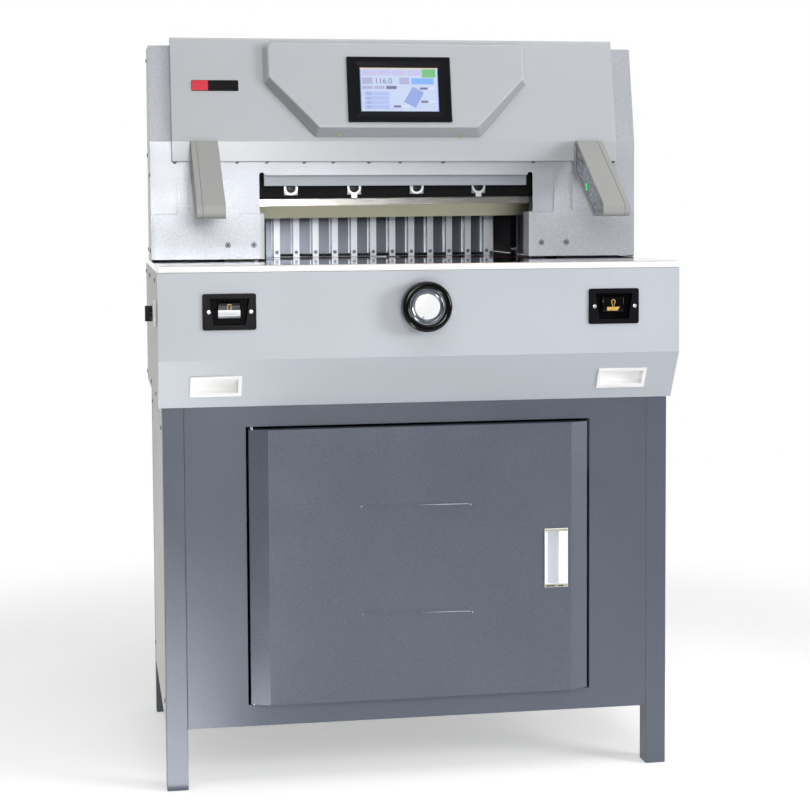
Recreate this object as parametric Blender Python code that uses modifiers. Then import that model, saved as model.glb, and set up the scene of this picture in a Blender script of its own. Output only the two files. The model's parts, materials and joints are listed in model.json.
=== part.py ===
"""Electric paper cutter on a cabinet stand, as separate sub-parts in metres, +Z up.

Machine coordinates: X runs to the right from the middle of the table, Y runs back
from the table's front edge, Z runs up from the floor. One empty carries every piece
and moves the machine so that the middle of its footprint lies at the origin.
"""
import math

import bmesh
import bpy
from mathutils import Matrix, Vector

NAME = "paper_cutter"

# Fits
GAP = 0.0003
RUNNING_FIT = 0.00008
OVERRUN = 0.010
SHEET = 0.002

# Overall sizes
TABLE_WIDTH = 0.945
STAND_HEIGHT = 0.692
STAND_DEPTH = 0.560
CASING_HEIGHT = 0.253
PLATE_FRONT = 0.283
HEAD_HEIGHT = 0.409
HEAD_DEPTH = 0.147

# Cabinet stand
SIDE_OVERHANG = 0.0075
STAND_CLEARANCE = 0.111
LEG_SIZE = 0.038
LEG_WALL = 0.002
FOOT_PLATE = 0.004
PANEL_FLANGE = 0.022
LOUVRE_WIDTH = 0.110
LOUVRE_HEIGHT = 0.006
LOUVRE_PITCH = 0.022
LOUVRE_ROWS = 6
LOUVRE_DROP = 0.092
LOUVRE_X = 0.200

# Cabinet door, hung on a pin at the left
DOORWAY_MARGIN = 0.1475
DOORWAY_SILL = 0.039
DOORWAY_HEADER = 0.037
DOORWAY_LIP = 0.020
DOOR_SIDE_GAP = 0.005
DOOR_TOP_GAP = 0.005
DOOR_BOTTOM_GAP = 0.0015
DOOR_PROUD = 0.015
DOOR_BEVEL_WIDTH = 0.0335
DOOR_DEPTH = 0.0305
DOOR_EDGE_PROUD = 0.0005
DOOR_RIB_LENGTH = 0.197
DOOR_RIB_CENTRE = -0.010
DOOR_RIB_HEIGHT = 0.004
DOOR_RIB_DEPTH = 0.0012
DOOR_RIB_SHARES = (("lower", 0.319), ("upper", 0.707))
HINGE_INSET = 0.0055
HINGE_BEHIND = 0.003
HINGE_PIN_RADIUS = 0.003
PULL_INSET = 0.0675
PULL_HEIGHT_SHARE = 0.496
PULL_WIDTH = 0.044
PULL_HEIGHT = 0.109
PULL_FLANGE = 0.0022
PULL_RIM = 0.004
PULL_DEPTH = 0.013
PULL_WALL = 0.0015
PULL_POCKET_WIDTH = 0.021

# Table casing
TABLE_PLATE = 0.011
STRIP_DEPTH = 0.012
STRIP_ROUND = 0.0015
APRON_DROP = 0.165
APRON_SLANT = 0.051
APRON_FLANGE = 0.0235
BASE_PLATE = 0.010
CASING_SETBACK = 0.011
SHOULDER_SETBACK = 0.017
WING_PLAY = 0.006
TONGUE_PLAY = 0.005
REAR_TABLE_LENGTH = 0.345
SLOT_WIDTH = 0.050
SLOT_LEAD = 0.035
SLOT_MARGIN = 0.030
FENCE_THICKNESS = 0.006
FENCE_HEIGHT = 0.085
FENCE_PLAY = 0.0035
FENCE_LENGTH = 0.059
REAR_HOOD_HEIGHT = 0.158
TROUGH_WIDTH = 0.064
TROUGH_DEPTH = 0.096
TROUGH_MARGIN = 0.010
INLET_INSET = 0.1425
INLET_DROP = 0.155
INLET_WIDTH = 0.048
INLET_HEIGHT = 0.030
INLET_DEPTH = 0.024
INLET_FLANGE = 0.003
INLET_RIM = 0.006

# Head: front plate, side covers and rear cover
PLATE_LIFT = 0.0033
HEAD_FOLD_HEIGHT = 0.226
HEAD_SLOPE_DEGREES = 12.0
SHOULDER_WIDTH = 0.2105
THROAT_HEIGHT = 0.162
RELIEF_WIDTH = 0.010
RELIEF_RISE = 0.0055
GUARD_SETBACK = 0.012
GUARD_DROP = 0.020
GUARD_LAP = 0.023
BRACKET_THICKNESS = 0.0027
BRACKET_MARGIN = 0.006
BRACKET_LAP = 0.0035
BRACKET_HEIGHT = 0.090
TAB_RISE = 0.071
TAB_INNER_SHARE = 0.243
TAB_OUTER_SHARE = 0.784

# Front cover of the head, hexagonal control box and display
COVER_MARGIN = 0.0405
COVER_PROUD = 0.012
COVER_SKIRT = 0.038
COVER_RISE = 0.203
COVER_ROUND = 0.005
BOX_DEPTH = 0.018
BOX_BASE_TOP = 0.1925
BOX_BASE_HALF = 0.257
BOX_BASE_CORNER = 0.114
BOX_BASE_BOTTOM = 0.007
BOX_BASE_BOTTOM_HALF = 0.161
BOX_TOP_DRAFT = 0.005
BOX_SIDE_DRAFT = 0.009
BOX_CORNER_DRAFT = 0.008
BOX_BOTTOM_DRAFT = 0.016
BOX_BOTTOM_SIDE_DRAFT = 0.008
BOX_ROUND = 0.012
BEZEL_WIDTH = 0.202
BEZEL_HEIGHT = 0.129
BEZEL_X = 0.0025
BEZEL_BOTTOM = 0.0325
BEZEL_THICKNESS = 0.004
BEZEL_CHAMFER = 0.0025
BEZEL_SLOPE = 0.0105
SCREEN_WIDTH = 0.153
SCREEN_HEIGHT = 0.087
SCREEN_THICKNESS = 0.002

# Light barrier arms
ARM_INSET = 0.1255
ARM_WIDTH = 0.051
ARM_RISE = 0.001
ARM_TOP_LEDGE = 0.019
ARM_ROOT_HEIGHT = 0.059
ARM_REACH = 0.208
ARM_DROP = 0.122
ARM_TOE_LENGTH = 0.068
ARM_TOE_HEIGHT = 0.023
ARM_ROUND = 0.009
WINDOW_RIM = 0.006
WINDOW_DEPTH = 0.002
ARM_SEAM_INSET = 0.0105
ARM_SEAM_WIDTH = 0.001
ARM_SEAM_DEPTH = 0.0008
ARM_MOUNT_WIDTH = 0.054
ARM_MOUNT_HEIGHT = 0.068
ARM_MOUNT_THICKNESS = 0.003

# Two-hand start buttons in their bezels
BUTTON_INSET = 0.1245
BUTTON_DROP = 0.080
BUTTON_BEZEL_WIDTH = 0.094
BUTTON_BEZEL_HEIGHT = 0.064
BUTTON_BEZEL_THICKNESS = 0.003
BUTTON_BEZEL_ROUND = 0.004
POCKET_TOP_WIDTH = 0.069
POCKET_BOTTOM_WIDTH = 0.056
POCKET_HEIGHT = 0.046
POCKET_DEPTH = 0.016
POCKET_WALL = 0.002
BUTTON_WIDTH = 0.040
BUTTON_HEIGHT = 0.029
BUTTON_LENGTH = 0.020
BUTTON_FRONT = 0.0005
BUTTON_ROUND = 0.0015
BUTTON_CROWN = 0.003
BUTTON_LIFT = 0.0025

# Gauge handwheel, spindle and back gauge
WHEEL_DROP = 0.075
WHEEL_RADIUS = 0.045
WHEEL_DISH_RADIUS = 0.031
WHEEL_DISC_RADIUS = 0.0307
WHEEL_CAP_RADIUS = 0.0225
WHEEL_LENGTH = 0.030
WHEEL_STANDOFF = 0.0012
WHEEL_NECK_RADIUS = 0.030
WHEEL_NECK_LENGTH = 0.006
WHEEL_DISH_DEPTH = 0.0085
WHEEL_CROWN = 0.006
DISC_THICKNESS = 0.004
DISC_STEP = 0.0015
SPINDLE_RADIUS = 0.008
GAUGE_LEAD = 0.015
GAUGE_MARGIN = 0.0268
GAUGE_FINGERS = 12
GAUGE_FINGER_WIDTH = 0.0125
GAUGE_FINGER_DEPTH = 0.026
GAUGE_HEIGHT = 0.100
GAUGE_WEB = 0.008
GAUGE_FOOT_DEPTH = 0.022
GAUGE_FOOT_HEIGHT = 0.014
SHANK_WIDTH = 0.024
NUT_SIZE = 0.040
NUT_LENGTH = 0.030

# Knife, its carrier beam and the press clamp
FRAME_MARGIN = 0.038
FRAME_PLAY = 0.0005
FRAME_THICKNESS = 0.030
FRAME_HEIGHT = 0.355
FRAME_SETBACK = 0.005
KNIFE_TILT_DEGREES = 0.4
BEAM_SETBACK = 0.043
BEAM_THICKNESS = 0.018
BEAM_LIFT = 0.119
BEAM_HEIGHT = 0.086
BEAM_LAP = 0.020
BEAM_PLAY = 0.0005
BLADE_SIDE_PLAY = 0.025
BLADE_HEIGHT = 0.096
BLADE_THICKNESS = 0.0097
BLADE_LIFT = 0.081
BLADE_EDGE_LAND = 0.0003
BEVEL_HEIGHT = 0.024
BOLT_COUNT = 4
BOLT_FIRST_SHARE = -0.3673
BOLT_PITCH_SHARE = 0.2242
BOLT_RISE = 0.020
BOLT_RING_RADIUS = 0.0135
BOLT_RING_INNER = 0.0095
BOLT_RING_THICKNESS = 0.004
BOLT_HEAD_RADIUS = 0.0075
BOLT_HEAD_HEIGHT = 0.0035
BOLT_SHANK_RADIUS = 0.005
BOLT_SEAT = 0.0015
BOLT_PLATE_SIZE = 0.0265
BOLT_PLATE_THICKNESS = 0.002
BOLT_STEM_WIDTH = 0.011
BOLT_STEM_THICKNESS = 0.003
STEMMED_BOLTS = (2, 4)
CLAMP_PLAY = 0.0055
CLAMP_DEPTH = 0.033
CLAMP_LIFT = 0.085
CLAMP_HEIGHT = 0.075
STICK_DEPTH = 0.016

# Crank and gearmotor of the knife
ROD_INSET = 0.005
ROD_WIDTH = 0.020
ROD_THICKNESS = 0.012
ROD_EYE_RADIUS = 0.017
ROD_BORE_RADIUS = 0.0105
CRANK_LIFT = 0.0977
CRANK_THROW_X = 0.010
CRANK_THROW_Z = 0.03925
CRANK_RADIUS = 0.054
CRANK_THICKNESS = 0.012
CRANK_PIN_RADIUS = 0.007
CRANK_PIN_LENGTH = 0.0135
MOTOR_LENGTH = 0.090
MOTOR_RADIUS = 0.055
GEARBOX_WIDTH = 0.130
GEARBOX_DEPTH = 0.090
GEARBOX_HEIGHT = 0.160
MOTOR_FOOT = 0.006
SHAFT_RADIUS = 0.010
SHAFT_LENGTH = 0.025

# White pull grips in the slanted apron
GRIP_INSET = 0.1015
GRIP_WIDTH = 0.091
GRIP_HEIGHT = 0.043
GRIP_FLANGE = 0.002
GRIP_RIM = 0.0055
GRIP_DEPTH = 0.014
GRIP_WALL = 0.0015
GRIP_ALONG = 0.0555

# Main switch on the left side
SWITCH_Y = 0.055
SWITCH_DROP = 0.084
SWITCH_BASE_WIDTH = 0.040
SWITCH_BASE_HEIGHT = 0.044
SWITCH_BASE_THICKNESS = 0.007
SWITCH_KNOB_RADIUS = 0.014
SWITCH_KNOB_LENGTH = 0.0127
SWITCH_GRIP_WIDTH = 0.007
SWITCH_GRIP_CUT = 0.008

# Facets
WELD = 0.00001
SHARP_DEGREES = 35
FLAT_DEGREES = 0.5
FINE_STEPS = 48
COARSE_STEPS = 24
BOLT_STEPS = 20
ARC_STEPS = 5
CROWN_STEPS = 8
HALF_SHARE = 0.5
SIDES = ((-1, "left"), (1, "right"))


def half(length):
    return length * HALF_SHARE


def twice(length):
    return length / HALF_SHARE


# Heights of the stand and casing, from the floor up
DOORWAY_BOTTOM = STAND_CLEARANCE + DOORWAY_SILL
DOORWAY_TOP = STAND_HEIGHT - DOORWAY_HEADER
PULL_CENTRE_Z = DOORWAY_BOTTOM + (DOORWAY_TOP - DOORWAY_BOTTOM) * PULL_HEIGHT_SHARE
LOUVRE_TOP = STAND_HEIGHT - LOUVRE_DROP
BASE_Z = STAND_HEIGHT + GAP
BASE_TOP = BASE_Z + BASE_PLATE
CRANK_Z = BASE_TOP + CRANK_LIFT
TABLE_TOP = STAND_HEIGHT + CASING_HEIGHT
TABLE_UNDERSIDE = TABLE_TOP - TABLE_PLATE
APRON_FOLD = TABLE_TOP - APRON_DROP
BUTTON_Z = TABLE_TOP - BUTTON_DROP
WHEEL_Z = TABLE_TOP - WHEEL_DROP
SWITCH_Z = TABLE_TOP - SWITCH_DROP
INLET_Z = TABLE_TOP - INLET_DROP

# Heights of the head, the knife and the arms, from the table up
HEAD_FOLD = TABLE_TOP + HEAD_FOLD_HEIGHT
HEAD_TOP = TABLE_TOP + HEAD_HEIGHT
HEAD_SLOPE = math.radians(HEAD_SLOPE_DEGREES)
HEAD_LEAN = math.tan(HEAD_SLOPE)
THROAT_TOP = TABLE_TOP + THROAT_HEIGHT
RELIEF_TOP = THROAT_TOP + RELIEF_RISE
GUARD_BOTTOM = THROAT_TOP - GUARD_DROP
GUARD_TOP = THROAT_TOP + GUARD_LAP
BRACKET_TOP = TABLE_TOP + BRACKET_HEIGHT
TAB_TOP = BRACKET_TOP + TAB_RISE
COVER_BOTTOM = HEAD_FOLD - COVER_SKIRT
ARM_TOP = HEAD_FOLD + ARM_RISE
ARM_HEEL = ARM_TOP - ARM_ROOT_HEIGHT
ARM_TOE_TOP = ARM_TOP - ARM_DROP
ARM_TOE_BOTTOM = ARM_TOE_TOP - ARM_TOE_HEIGHT
FRAME_TOP = TABLE_TOP + FRAME_HEIGHT
BEAM_BOTTOM = TABLE_TOP + BEAM_LIFT
BLADE_EDGE_Z = TABLE_TOP + BLADE_LIFT
BOLT_Z = BEAM_BOTTOM + BOLT_RISE
CLAMP_BOTTOM = TABLE_TOP + CLAMP_LIFT

# Widths, and distances in X from the middle
STAND_WIDTH = TABLE_WIDTH - twice(SIDE_OVERHANG)
DOORWAY_WIDTH = STAND_WIDTH - twice(DOORWAY_MARGIN)
PULL_CENTRE_X = half(DOORWAY_WIDTH) - PULL_INSET
THROAT_WIDTH = TABLE_WIDTH - twice(SHOULDER_WIDTH)
COVER_WIDTH = TABLE_WIDTH - twice(COVER_MARGIN)
BRACKET_OUTER = half(TABLE_WIDTH) - BRACKET_MARGIN
BRACKET_INNER = half(THROAT_WIDTH) - BRACKET_LAP
TAB_INNER = BRACKET_INNER + (BRACKET_OUTER - BRACKET_INNER) * TAB_INNER_SHARE
TAB_OUTER = BRACKET_INNER + (BRACKET_OUTER - BRACKET_INNER) * TAB_OUTER_SHARE
ARM_INNER = half(TABLE_WIDTH) - ARM_INSET
ARM_CENTRE = ARM_INNER + half(ARM_WIDTH)
BUTTON_X = half(TABLE_WIDTH) - BUTTON_INSET
GRIP_X = half(TABLE_WIDTH) - GRIP_INSET
INLET_X = INLET_INSET - half(TABLE_WIDTH)
FRAME_INNER = half(THROAT_WIDTH) + FRAME_MARGIN
TABLE_WING_INNER = FRAME_INNER + FRAME_THICKNESS + WING_PLAY
REAR_TABLE_WIDTH = twice(FRAME_INNER - FRAME_PLAY)
BEAM_WIDTH = twice(FRAME_INNER + BEAM_LAP)
BLADE_WIDTH = twice(FRAME_INNER - BLADE_SIDE_PLAY)
TABLE_TONGUE_WIDTH = BLADE_WIDTH + twice(TONGUE_PLAY)
GAUGE_PITCH = (THROAT_WIDTH - twice(GAUGE_MARGIN)) / GAUGE_FINGERS
ROD_X = half(BEAM_WIDTH) - ROD_INSET
CRANK_X = ROD_X - CRANK_THROW_X

# Distances in Y, from the table's front edge back
STAND_FRONT = APRON_SLANT
STAND_REAR = STAND_FRONT + STAND_DEPTH
CASING_DEPTH = STAND_REAR - CASING_SETBACK
REAR_TABLE_END = CASING_DEPTH + REAR_TABLE_LENGTH
TROUGH_END = REAR_TABLE_END - TROUGH_MARGIN
PLATE_BACK = PLATE_FRONT + SHEET
COVER_FRONT = PLATE_FRONT - COVER_PROUD
HEAD_REAR = PLATE_FRONT + HEAD_DEPTH
FRAME_END = HEAD_REAR - FRAME_SETBACK
TABLE_SHOULDER = PLATE_FRONT + SHOULDER_SETBACK
BEAM_FRONT = PLATE_FRONT + BEAM_SETBACK
BEAM_BACK = BEAM_FRONT + BEAM_THICKNESS
BRACKET_FLANGE_END = BEAM_FRONT - BEAM_PLAY
BLADE_FRONT = BEAM_BACK + GAP
STICK_FRONT = BEAM_BACK
STICK_BACK = STICK_FRONT + STICK_DEPTH
CLAMP_FRONT = BLADE_FRONT + BLADE_THICKNESS + CLAMP_PLAY
CLAMP_BACK = CLAMP_FRONT + CLAMP_DEPTH
SLOT_START = STICK_BACK + SLOT_LEAD
SLOT_END = REAR_TABLE_END - SLOT_MARGIN
FENCE_START = CLAMP_BACK + FENCE_PLAY
FENCE_END = FENCE_START + FENCE_LENGTH
GAUGE_FRONT = FENCE_END + GAUGE_LEAD
CRANK_FRONT = BEAM_FRONT - BEAM_PLAY - CRANK_PIN_LENGTH - CRANK_THICKNESS
WHEEL_BACK = -WHEEL_STANDOFF
WHEEL_FRONT = WHEEL_BACK - WHEEL_LENGTH
SWITCH_OUT = GAP + SWITCH_BASE_THICKNESS + GAP + SWITCH_KNOB_LENGTH

COLOURS = {
    "grey_paint": ((0.52, 0.55, 0.58, 1), 0.42, 0.0),
    "light_paint": ((0.62, 0.65, 0.69, 1), 0.45, 0.0),
    "beige_paint": ((0.55, 0.55, 0.52, 1), 0.45, 0.0),
    "stand_paint": ((0.14, 0.16, 0.19, 1), 0.40, 0.0),
    "white_plastic": ((0.88, 0.88, 0.86, 1), 0.35, 0.0),
    "black_plastic": ((0.02, 0.02, 0.02, 1), 0.30, 0.0),
    "arm_plastic": ((0.36, 0.37, 0.35, 1), 0.45, 0.0),
    "polished_steel": ((0.72, 0.72, 0.71, 1), 0.12, 1.0),
    "knife_steel": ((0.60, 0.58, 0.48, 1), 0.22, 1.0),
    "black_iron": ((0.03, 0.03, 0.03, 1), 0.50, 0.4),
    "cast_iron": ((0.33, 0.34, 0.35, 1), 0.50, 0.6),
    "cast_aluminium": ((0.58, 0.59, 0.61, 1), 0.35, 0.8),
    "screen_glass": ((0.45, 0.62, 0.78, 1), 0.08, 0.0),
    "red_plastic": ((0.55, 0.05, 0.04, 1), 0.35, 0.0),
}


def clear_scene():
    """An empty scene, so that only the machine is in it."""
    for thing in list(bpy.data.objects):
        bpy.data.objects.remove(thing)


def new_collection(name):
    """A collection linked to the scene."""
    group = bpy.data.collections.new(name)
    bpy.context.scene.collection.children.link(group)
    return group


def new_empty(name, place=(0, 0, 0), carrier=None):
    """An empty that carries pieces, at a place in its carrier's frame."""
    empty = bpy.data.objects.new(name, None)
    empty.location = place
    empty.parent = carrier
    PARTS.objects.link(empty)
    return empty


def add_material(name):
    """A painted, plastic or metal finish from the colour list."""
    colour, rough, metal = COLOURS[name]
    paint = bpy.data.materials.new(name)
    paint.use_nodes = True
    shader = paint.node_tree.nodes["Principled BSDF"]
    shader.inputs["Base Color"].default_value = colour
    shader.inputs["Roughness"].default_value = rough
    shader.inputs["Metallic"].default_value = metal
    paint.diffuse_color = colour
    return paint


def new_object(name, mesh, matrix=None):
    """A mesh object carried by the machine's empty."""
    thing = bpy.data.objects.new(name, mesh)
    thing.parent = MACHINE
    if matrix is not None:
        thing.matrix_basis = matrix
    PARTS.objects.link(thing)
    return thing


def finish(thing, material, pivot=None):
    """Gives a sub-part its material and, if it moves, the empty on its joint axis."""
    thing.data.materials.clear()
    thing.data.materials.append(MATERIALS[material])
    if pivot is not None:
        thing.parent = pivot
        thing.matrix_parent_inverse = pivot.matrix_basis.inverted()
    return thing


def smooth(thing):
    """Smooth shading on a round piece, with its real edges kept sharp."""
    thing.data.shade_smooth()
    thing.data.set_sharp_from_angle(angle=math.radians(SHARP_DEGREES))
    return thing


def tool(thing):
    """Turns an object into a cutter or a piece to be joined, kept out of the model."""
    for group in list(thing.users_collection):
        group.objects.unlink(thing)
    CUTTERS.objects.link(thing)
    thing.hide_render = True
    thing.display_type = "WIRE"
    return thing


def combine(target, operation, others):
    """Exact Boolean modifiers, one for each of the other objects."""
    for other in others:
        step = target.modifiers.new(other.name, "BOOLEAN")
        step.operation = operation
        step.solver = "EXACT"
        step.object = tool(other)
    return target


def cut(target, *cutters):
    return combine(target, "DIFFERENCE", cutters)


def join(target, *pieces):
    return combine(target, "UNION", pieces)


def soften(thing, width, segments=2):
    """Rounds the sharp edges of a piece."""
    edge = thing.modifiers.new("rounded_edges", "BEVEL")
    edge.width = width
    edge.segments = segments
    edge.limit_method = "ANGLE"
    return thing


def repeat(thing, count, step):
    """Copies of a cutter or a joined piece, a fixed step apart."""
    row = thing.modifiers.new("row", "ARRAY")
    row.count = count
    row.use_relative_offset = False
    row.use_constant_offset = True
    row.constant_offset_displace = step
    return thing


def middle(limits):
    return (limits[0] + limits[1]) * HALF_SHARE


def around(centre, width):
    """The two limits of a width about its centre."""
    return (centre - width * HALF_SHARE, centre + width * HALF_SHARE)


def on_side(side, inner, outer):
    """Limits in X of something between two distances from the middle, on one side."""
    return tuple(sorted((side * inner, side * outer)))


def block(name, x, y, z):
    """A box between two limits on each axis."""
    size = Matrix.Diagonal((x[1] - x[0], y[1] - y[0], z[1] - z[0], 1))
    shape = bmesh.new()
    bmesh.ops.create_cube(shape, size=1, matrix=size)
    mesh = bpy.data.meshes.new(name)
    shape.to_mesh(mesh)
    shape.free()
    return new_object(name, mesh, Matrix.Translation((middle(x), middle(y), middle(z))))


def rod(name, radius, centre, limits, axis, steps=COARSE_STEPS):
    """A round bar between two limits along an axis; centre gives its other two places."""
    shape = bmesh.new()
    bmesh.ops.create_cone(shape, cap_ends=True, segments=steps, radius1=radius, radius2=radius,
                          depth=limits[1] - limits[0])
    mesh = bpy.data.meshes.new(name)
    shape.to_mesh(mesh)
    shape.free()
    place = list(centre)
    place.insert("XYZ".index(axis), middle(limits))
    turn = {"X": ("Y", 1), "Y": ("X", 1), "Z": ("Z", 0)}[axis]
    spin = Matrix.Rotation(math.radians(90) * turn[1], 4, turn[0])
    return smooth(new_object(name, mesh, Matrix.Translation(place) @ spin))


def outline(name, points, plane, limits):
    """A flat outline in a plane, given thickness between two limits on the third axis."""
    curve = bpy.data.curves.new(name, "CURVE")
    curve.dimensions = "2D"
    curve.fill_mode = "BOTH"
    curve.extrude = (limits[1] - limits[0]) * HALF_SHARE
    spline = curve.splines.new("POLY")
    spline.points.add(len(points) - 1)
    for point, (across, along) in zip(spline.points, points):
        point.co = (across, along, 0, 1)
    spline.use_cyclic_u = True
    flat = bpy.data.objects.new(name, curve)
    PARTS.objects.link(flat)
    mesh = solid_mesh(flat)
    depth = middle(limits)
    basis = {
        "XY": Matrix.Translation((0, 0, depth)),
        "YZ": Matrix(((0, 0, 1, depth), (1, 0, 0, 0), (0, 1, 0, 0), (0, 0, 0, 1))),
        "XZ": Matrix(((1, 0, 0, 0), (0, 0, -1, depth), (0, 1, 0, 0), (0, 0, 0, 1))),
    }[plane]
    return new_object(name, mesh, basis)


def solid_mesh(thing):
    """The closed mesh of a curve object, whose caps are welded to its sides."""
    bpy.context.view_layer.update()
    mesh = bpy.data.meshes.new_from_object(thing.evaluated_get(bpy.context.evaluated_depsgraph_get()))
    shape = bmesh.new()
    shape.from_mesh(mesh)
    bmesh.ops.remove_doubles(shape, verts=shape.verts, dist=WELD)
    bmesh.ops.dissolve_limit(shape, angle_limit=math.radians(FLAT_DEGREES), verts=shape.verts,
                             edges=shape.edges)
    bmesh.ops.recalc_face_normals(shape, faces=shape.faces)
    shape.to_mesh(mesh)
    shape.free()
    bpy.data.objects.remove(thing)
    return mesh


def folded_sheet(name, path, width, thickness=SHEET):
    """Sheet metal folded along a path in Y and Z; where the path goes up, it lies behind it."""
    mesh = bpy.data.meshes.new(name)
    shape = bmesh.new()
    start = -width * HALF_SHARE
    edge_points = [shape.verts.new((start, along, up)) for along, up in path]
    edges = [shape.edges.new(pair) for pair in zip(edge_points, edge_points[1:])]
    grown = bmesh.ops.extrude_edge_only(shape, edges=edges)
    moved = [item for item in grown["geom"] if isinstance(item, bmesh.types.BMVert)]
    bmesh.ops.translate(shape, verts=moved, vec=(width, 0, 0))
    shape.to_mesh(mesh)
    shape.free()
    sheet = new_object(name, mesh)
    wall = sheet.modifiers.new("thickness", "SOLIDIFY")
    wall.thickness = thickness
    wall.offset = -1
    wall.use_even_offset = True
    return sheet


def corner_arc(previous, corner, following, radius):
    """A short arc in place of the corner between two other points."""
    here = Vector(corner)
    before = (Vector(previous) - here).normalized()
    after = (Vector(following) - here).normalized()
    angle = before.angle(after)
    reach = radius / math.tan(angle * HALF_SHARE)
    centre = here + (before + after).normalized() * (radius / math.sin(angle * HALF_SHARE))
    start = here + before * reach - centre
    end = here + after * reach - centre
    turn = start.angle_signed(end)
    spins = [Matrix.Rotation(-turn * step / ARC_STEPS, 2) for step in range(ARC_STEPS + 1)]
    return [tuple(centre + spin @ start) for spin in spins]


def rounded(points, radius):
    """The outline with each corner replaced by a short arc of the radius."""
    result = []
    for index, corner in enumerate(points):
        result += corner_arc(points[index - 1], corner, points[(index + 1) % len(points)], radius)
    return result


def rectangle(x, z):
    """The four corners between two limits each way."""
    return [(x[0], z[0]), (x[1], z[0]), (x[1], z[1]), (x[0], z[1])]


def crown(start, end, rise):
    """Points from start to end whose second value swells by rise in between."""
    points = []
    for step in range(CROWN_STEPS + 1):
        angle = math.pi * step / CROWN_STEPS
        share = HALF_SHARE - math.cos(angle) * HALF_SHARE
        points.append((start[0] + (end[0] - start[0]) * share, start[1] + rise * math.sin(angle)))
    return points


def turned(name, profile, place, steps=FINE_STEPS):
    """A turned shape about an axis that points to the front; profile is (radius, forward)."""
    mesh = bpy.data.meshes.new(name)
    shape = bmesh.new()
    ring = [shape.verts.new((radius, 0, forward)) for radius, forward in profile]
    for pair in zip(ring, ring[1:]):
        shape.edges.new(pair)
    shape.to_mesh(mesh)
    shape.free()
    spin = Matrix.Rotation(math.radians(90), 4, "X")
    piece = new_object(name, mesh, Matrix.Translation(place) @ spin)
    screw = piece.modifiers.new("turned", "SCREW")
    screw.steps = steps
    screw.render_steps = steps
    screw.use_merge_vertices = True
    screw.merge_threshold = WELD
    screw.use_smooth_shade = False
    return piece


def pan(name, x, y, z, open_side):
    """A sheet-metal pan: a box with a flanged rim, open on one side of one axis."""
    shell = block(name, x, y, z)
    inner = {"X": [x[0] + SHEET, x[1] - SHEET], "Y": [y[0] + SHEET, y[1] - SHEET],
             "Z": [z[0] + SHEET, z[1] - SHEET]}
    axis = open_side[1]
    if open_side[0] == "+":
        inner[axis][1] += OVERRUN
    else:
        inner[axis][0] -= OVERRUN
    return cut(shell, block(name + "_inside", inner["X"], inner["Y"], inner["Z"]))


def inset(points, amount):
    """The outline moved inward by an amount along every side."""
    count = len(points)
    area = sum(points[i][0] * points[(i + 1) % count][1] - points[(i + 1) % count][0] * points[i][1]
               for i in range(count))
    result = []
    for index, corner in enumerate(points):
        here = Vector(corner)
        before = (here - Vector(points[index - 1])).normalized()
        after = (Vector(points[(index + 1) % count]) - here).normalized()
        inward = Vector((-before.y, before.x)) + Vector((-after.y, after.x))
        inward = inward.normalized() * math.copysign(1, area)
        share = before.angle(after) * HALF_SHARE
        result.append(tuple(here + inward * (amount / math.cos(share))))
    return result


def build_stand():
    """Four square tube legs, sheet panels between them and the cabinet floor."""
    inner_x = half(STAND_WIDTH) - LEG_SIZE
    for side, word in SIDES:
        for end, start in (("front", STAND_FRONT), ("rear", STAND_REAR - LEG_SIZE)):
            x = on_side(side, inner_x, half(STAND_WIDTH))
            leg = block(f"leg_{end}_{word}", x, (start, start + LEG_SIZE), (0, STAND_HEIGHT))
            bore = block(f"{leg.name}_bore", (x[0] + LEG_WALL, x[1] - LEG_WALL),
                         (start + LEG_WALL, start + LEG_SIZE - LEG_WALL),
                         (FOOT_PLATE, STAND_HEIGHT + OVERRUN))
            finish(cut(leg, bore), "stand_paint")
        x = on_side(side, half(STAND_WIDTH) - PANEL_FLANGE, half(STAND_WIDTH))
        y = (STAND_FRONT + LEG_SIZE + GAP, STAND_REAR - LEG_SIZE - GAP)
        open_side = "+X" if side < 0 else "-X"
        panel = pan(f"stand_side_{word}", x, y, (STAND_CLEARANCE, STAND_HEIGHT), open_side)
        finish(panel, "beige_paint")

    panel_x = around(0, twice(inner_x - GAP))
    panel_z = (STAND_CLEARANCE, STAND_HEIGHT)
    front_y = (STAND_FRONT, STAND_FRONT + PANEL_FLANGE)
    front = pan("stand_front_panel", panel_x, front_y, panel_z, "+Y")
    doorway_x = around(0, DOORWAY_WIDTH)
    lip = block("doorway_lip", (doorway_x[0] - SHEET, doorway_x[1] + SHEET),
                (STAND_FRONT + half(SHEET), STAND_FRONT + DOORWAY_LIP),
                (DOORWAY_BOTTOM - SHEET, DOORWAY_TOP + SHEET))
    doorway = block("doorway", doorway_x, (STAND_FRONT - OVERRUN, front_y[1] + OVERRUN),
                    (DOORWAY_BOTTOM, DOORWAY_TOP))
    finish(cut(join(front, lip), doorway), "stand_paint")

    rear_y = (STAND_REAR - PANEL_FLANGE, STAND_REAR)
    rear = pan("stand_back_panel", panel_x, rear_y, panel_z, "-Y")
    louvres = block("louvres", around(-LOUVRE_X, LOUVRE_WIDTH),
                    (STAND_REAR - SHEET - OVERRUN, STAND_REAR + OVERRUN),
                    (LOUVRE_TOP - LOUVRE_HEIGHT, LOUVRE_TOP))
    repeat(louvres, LOUVRE_ROWS, (0, 0, -LOUVRE_PITCH))
    repeat(louvres, len(SIDES), (twice(LOUVRE_X), 0, 0))
    finish(cut(rear, louvres), "stand_paint")

    floor_x = half(STAND_WIDTH) - LEG_SIZE - GAP - SHEET - GAP
    floor_z = STAND_CLEARANCE + SHEET + GAP
    floor = block("stand_floor", (-floor_x, floor_x),
                  (STAND_FRONT + SHEET + GAP, STAND_REAR - SHEET - GAP), (floor_z, floor_z + SHEET))
    finish(floor, "stand_paint")


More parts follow.
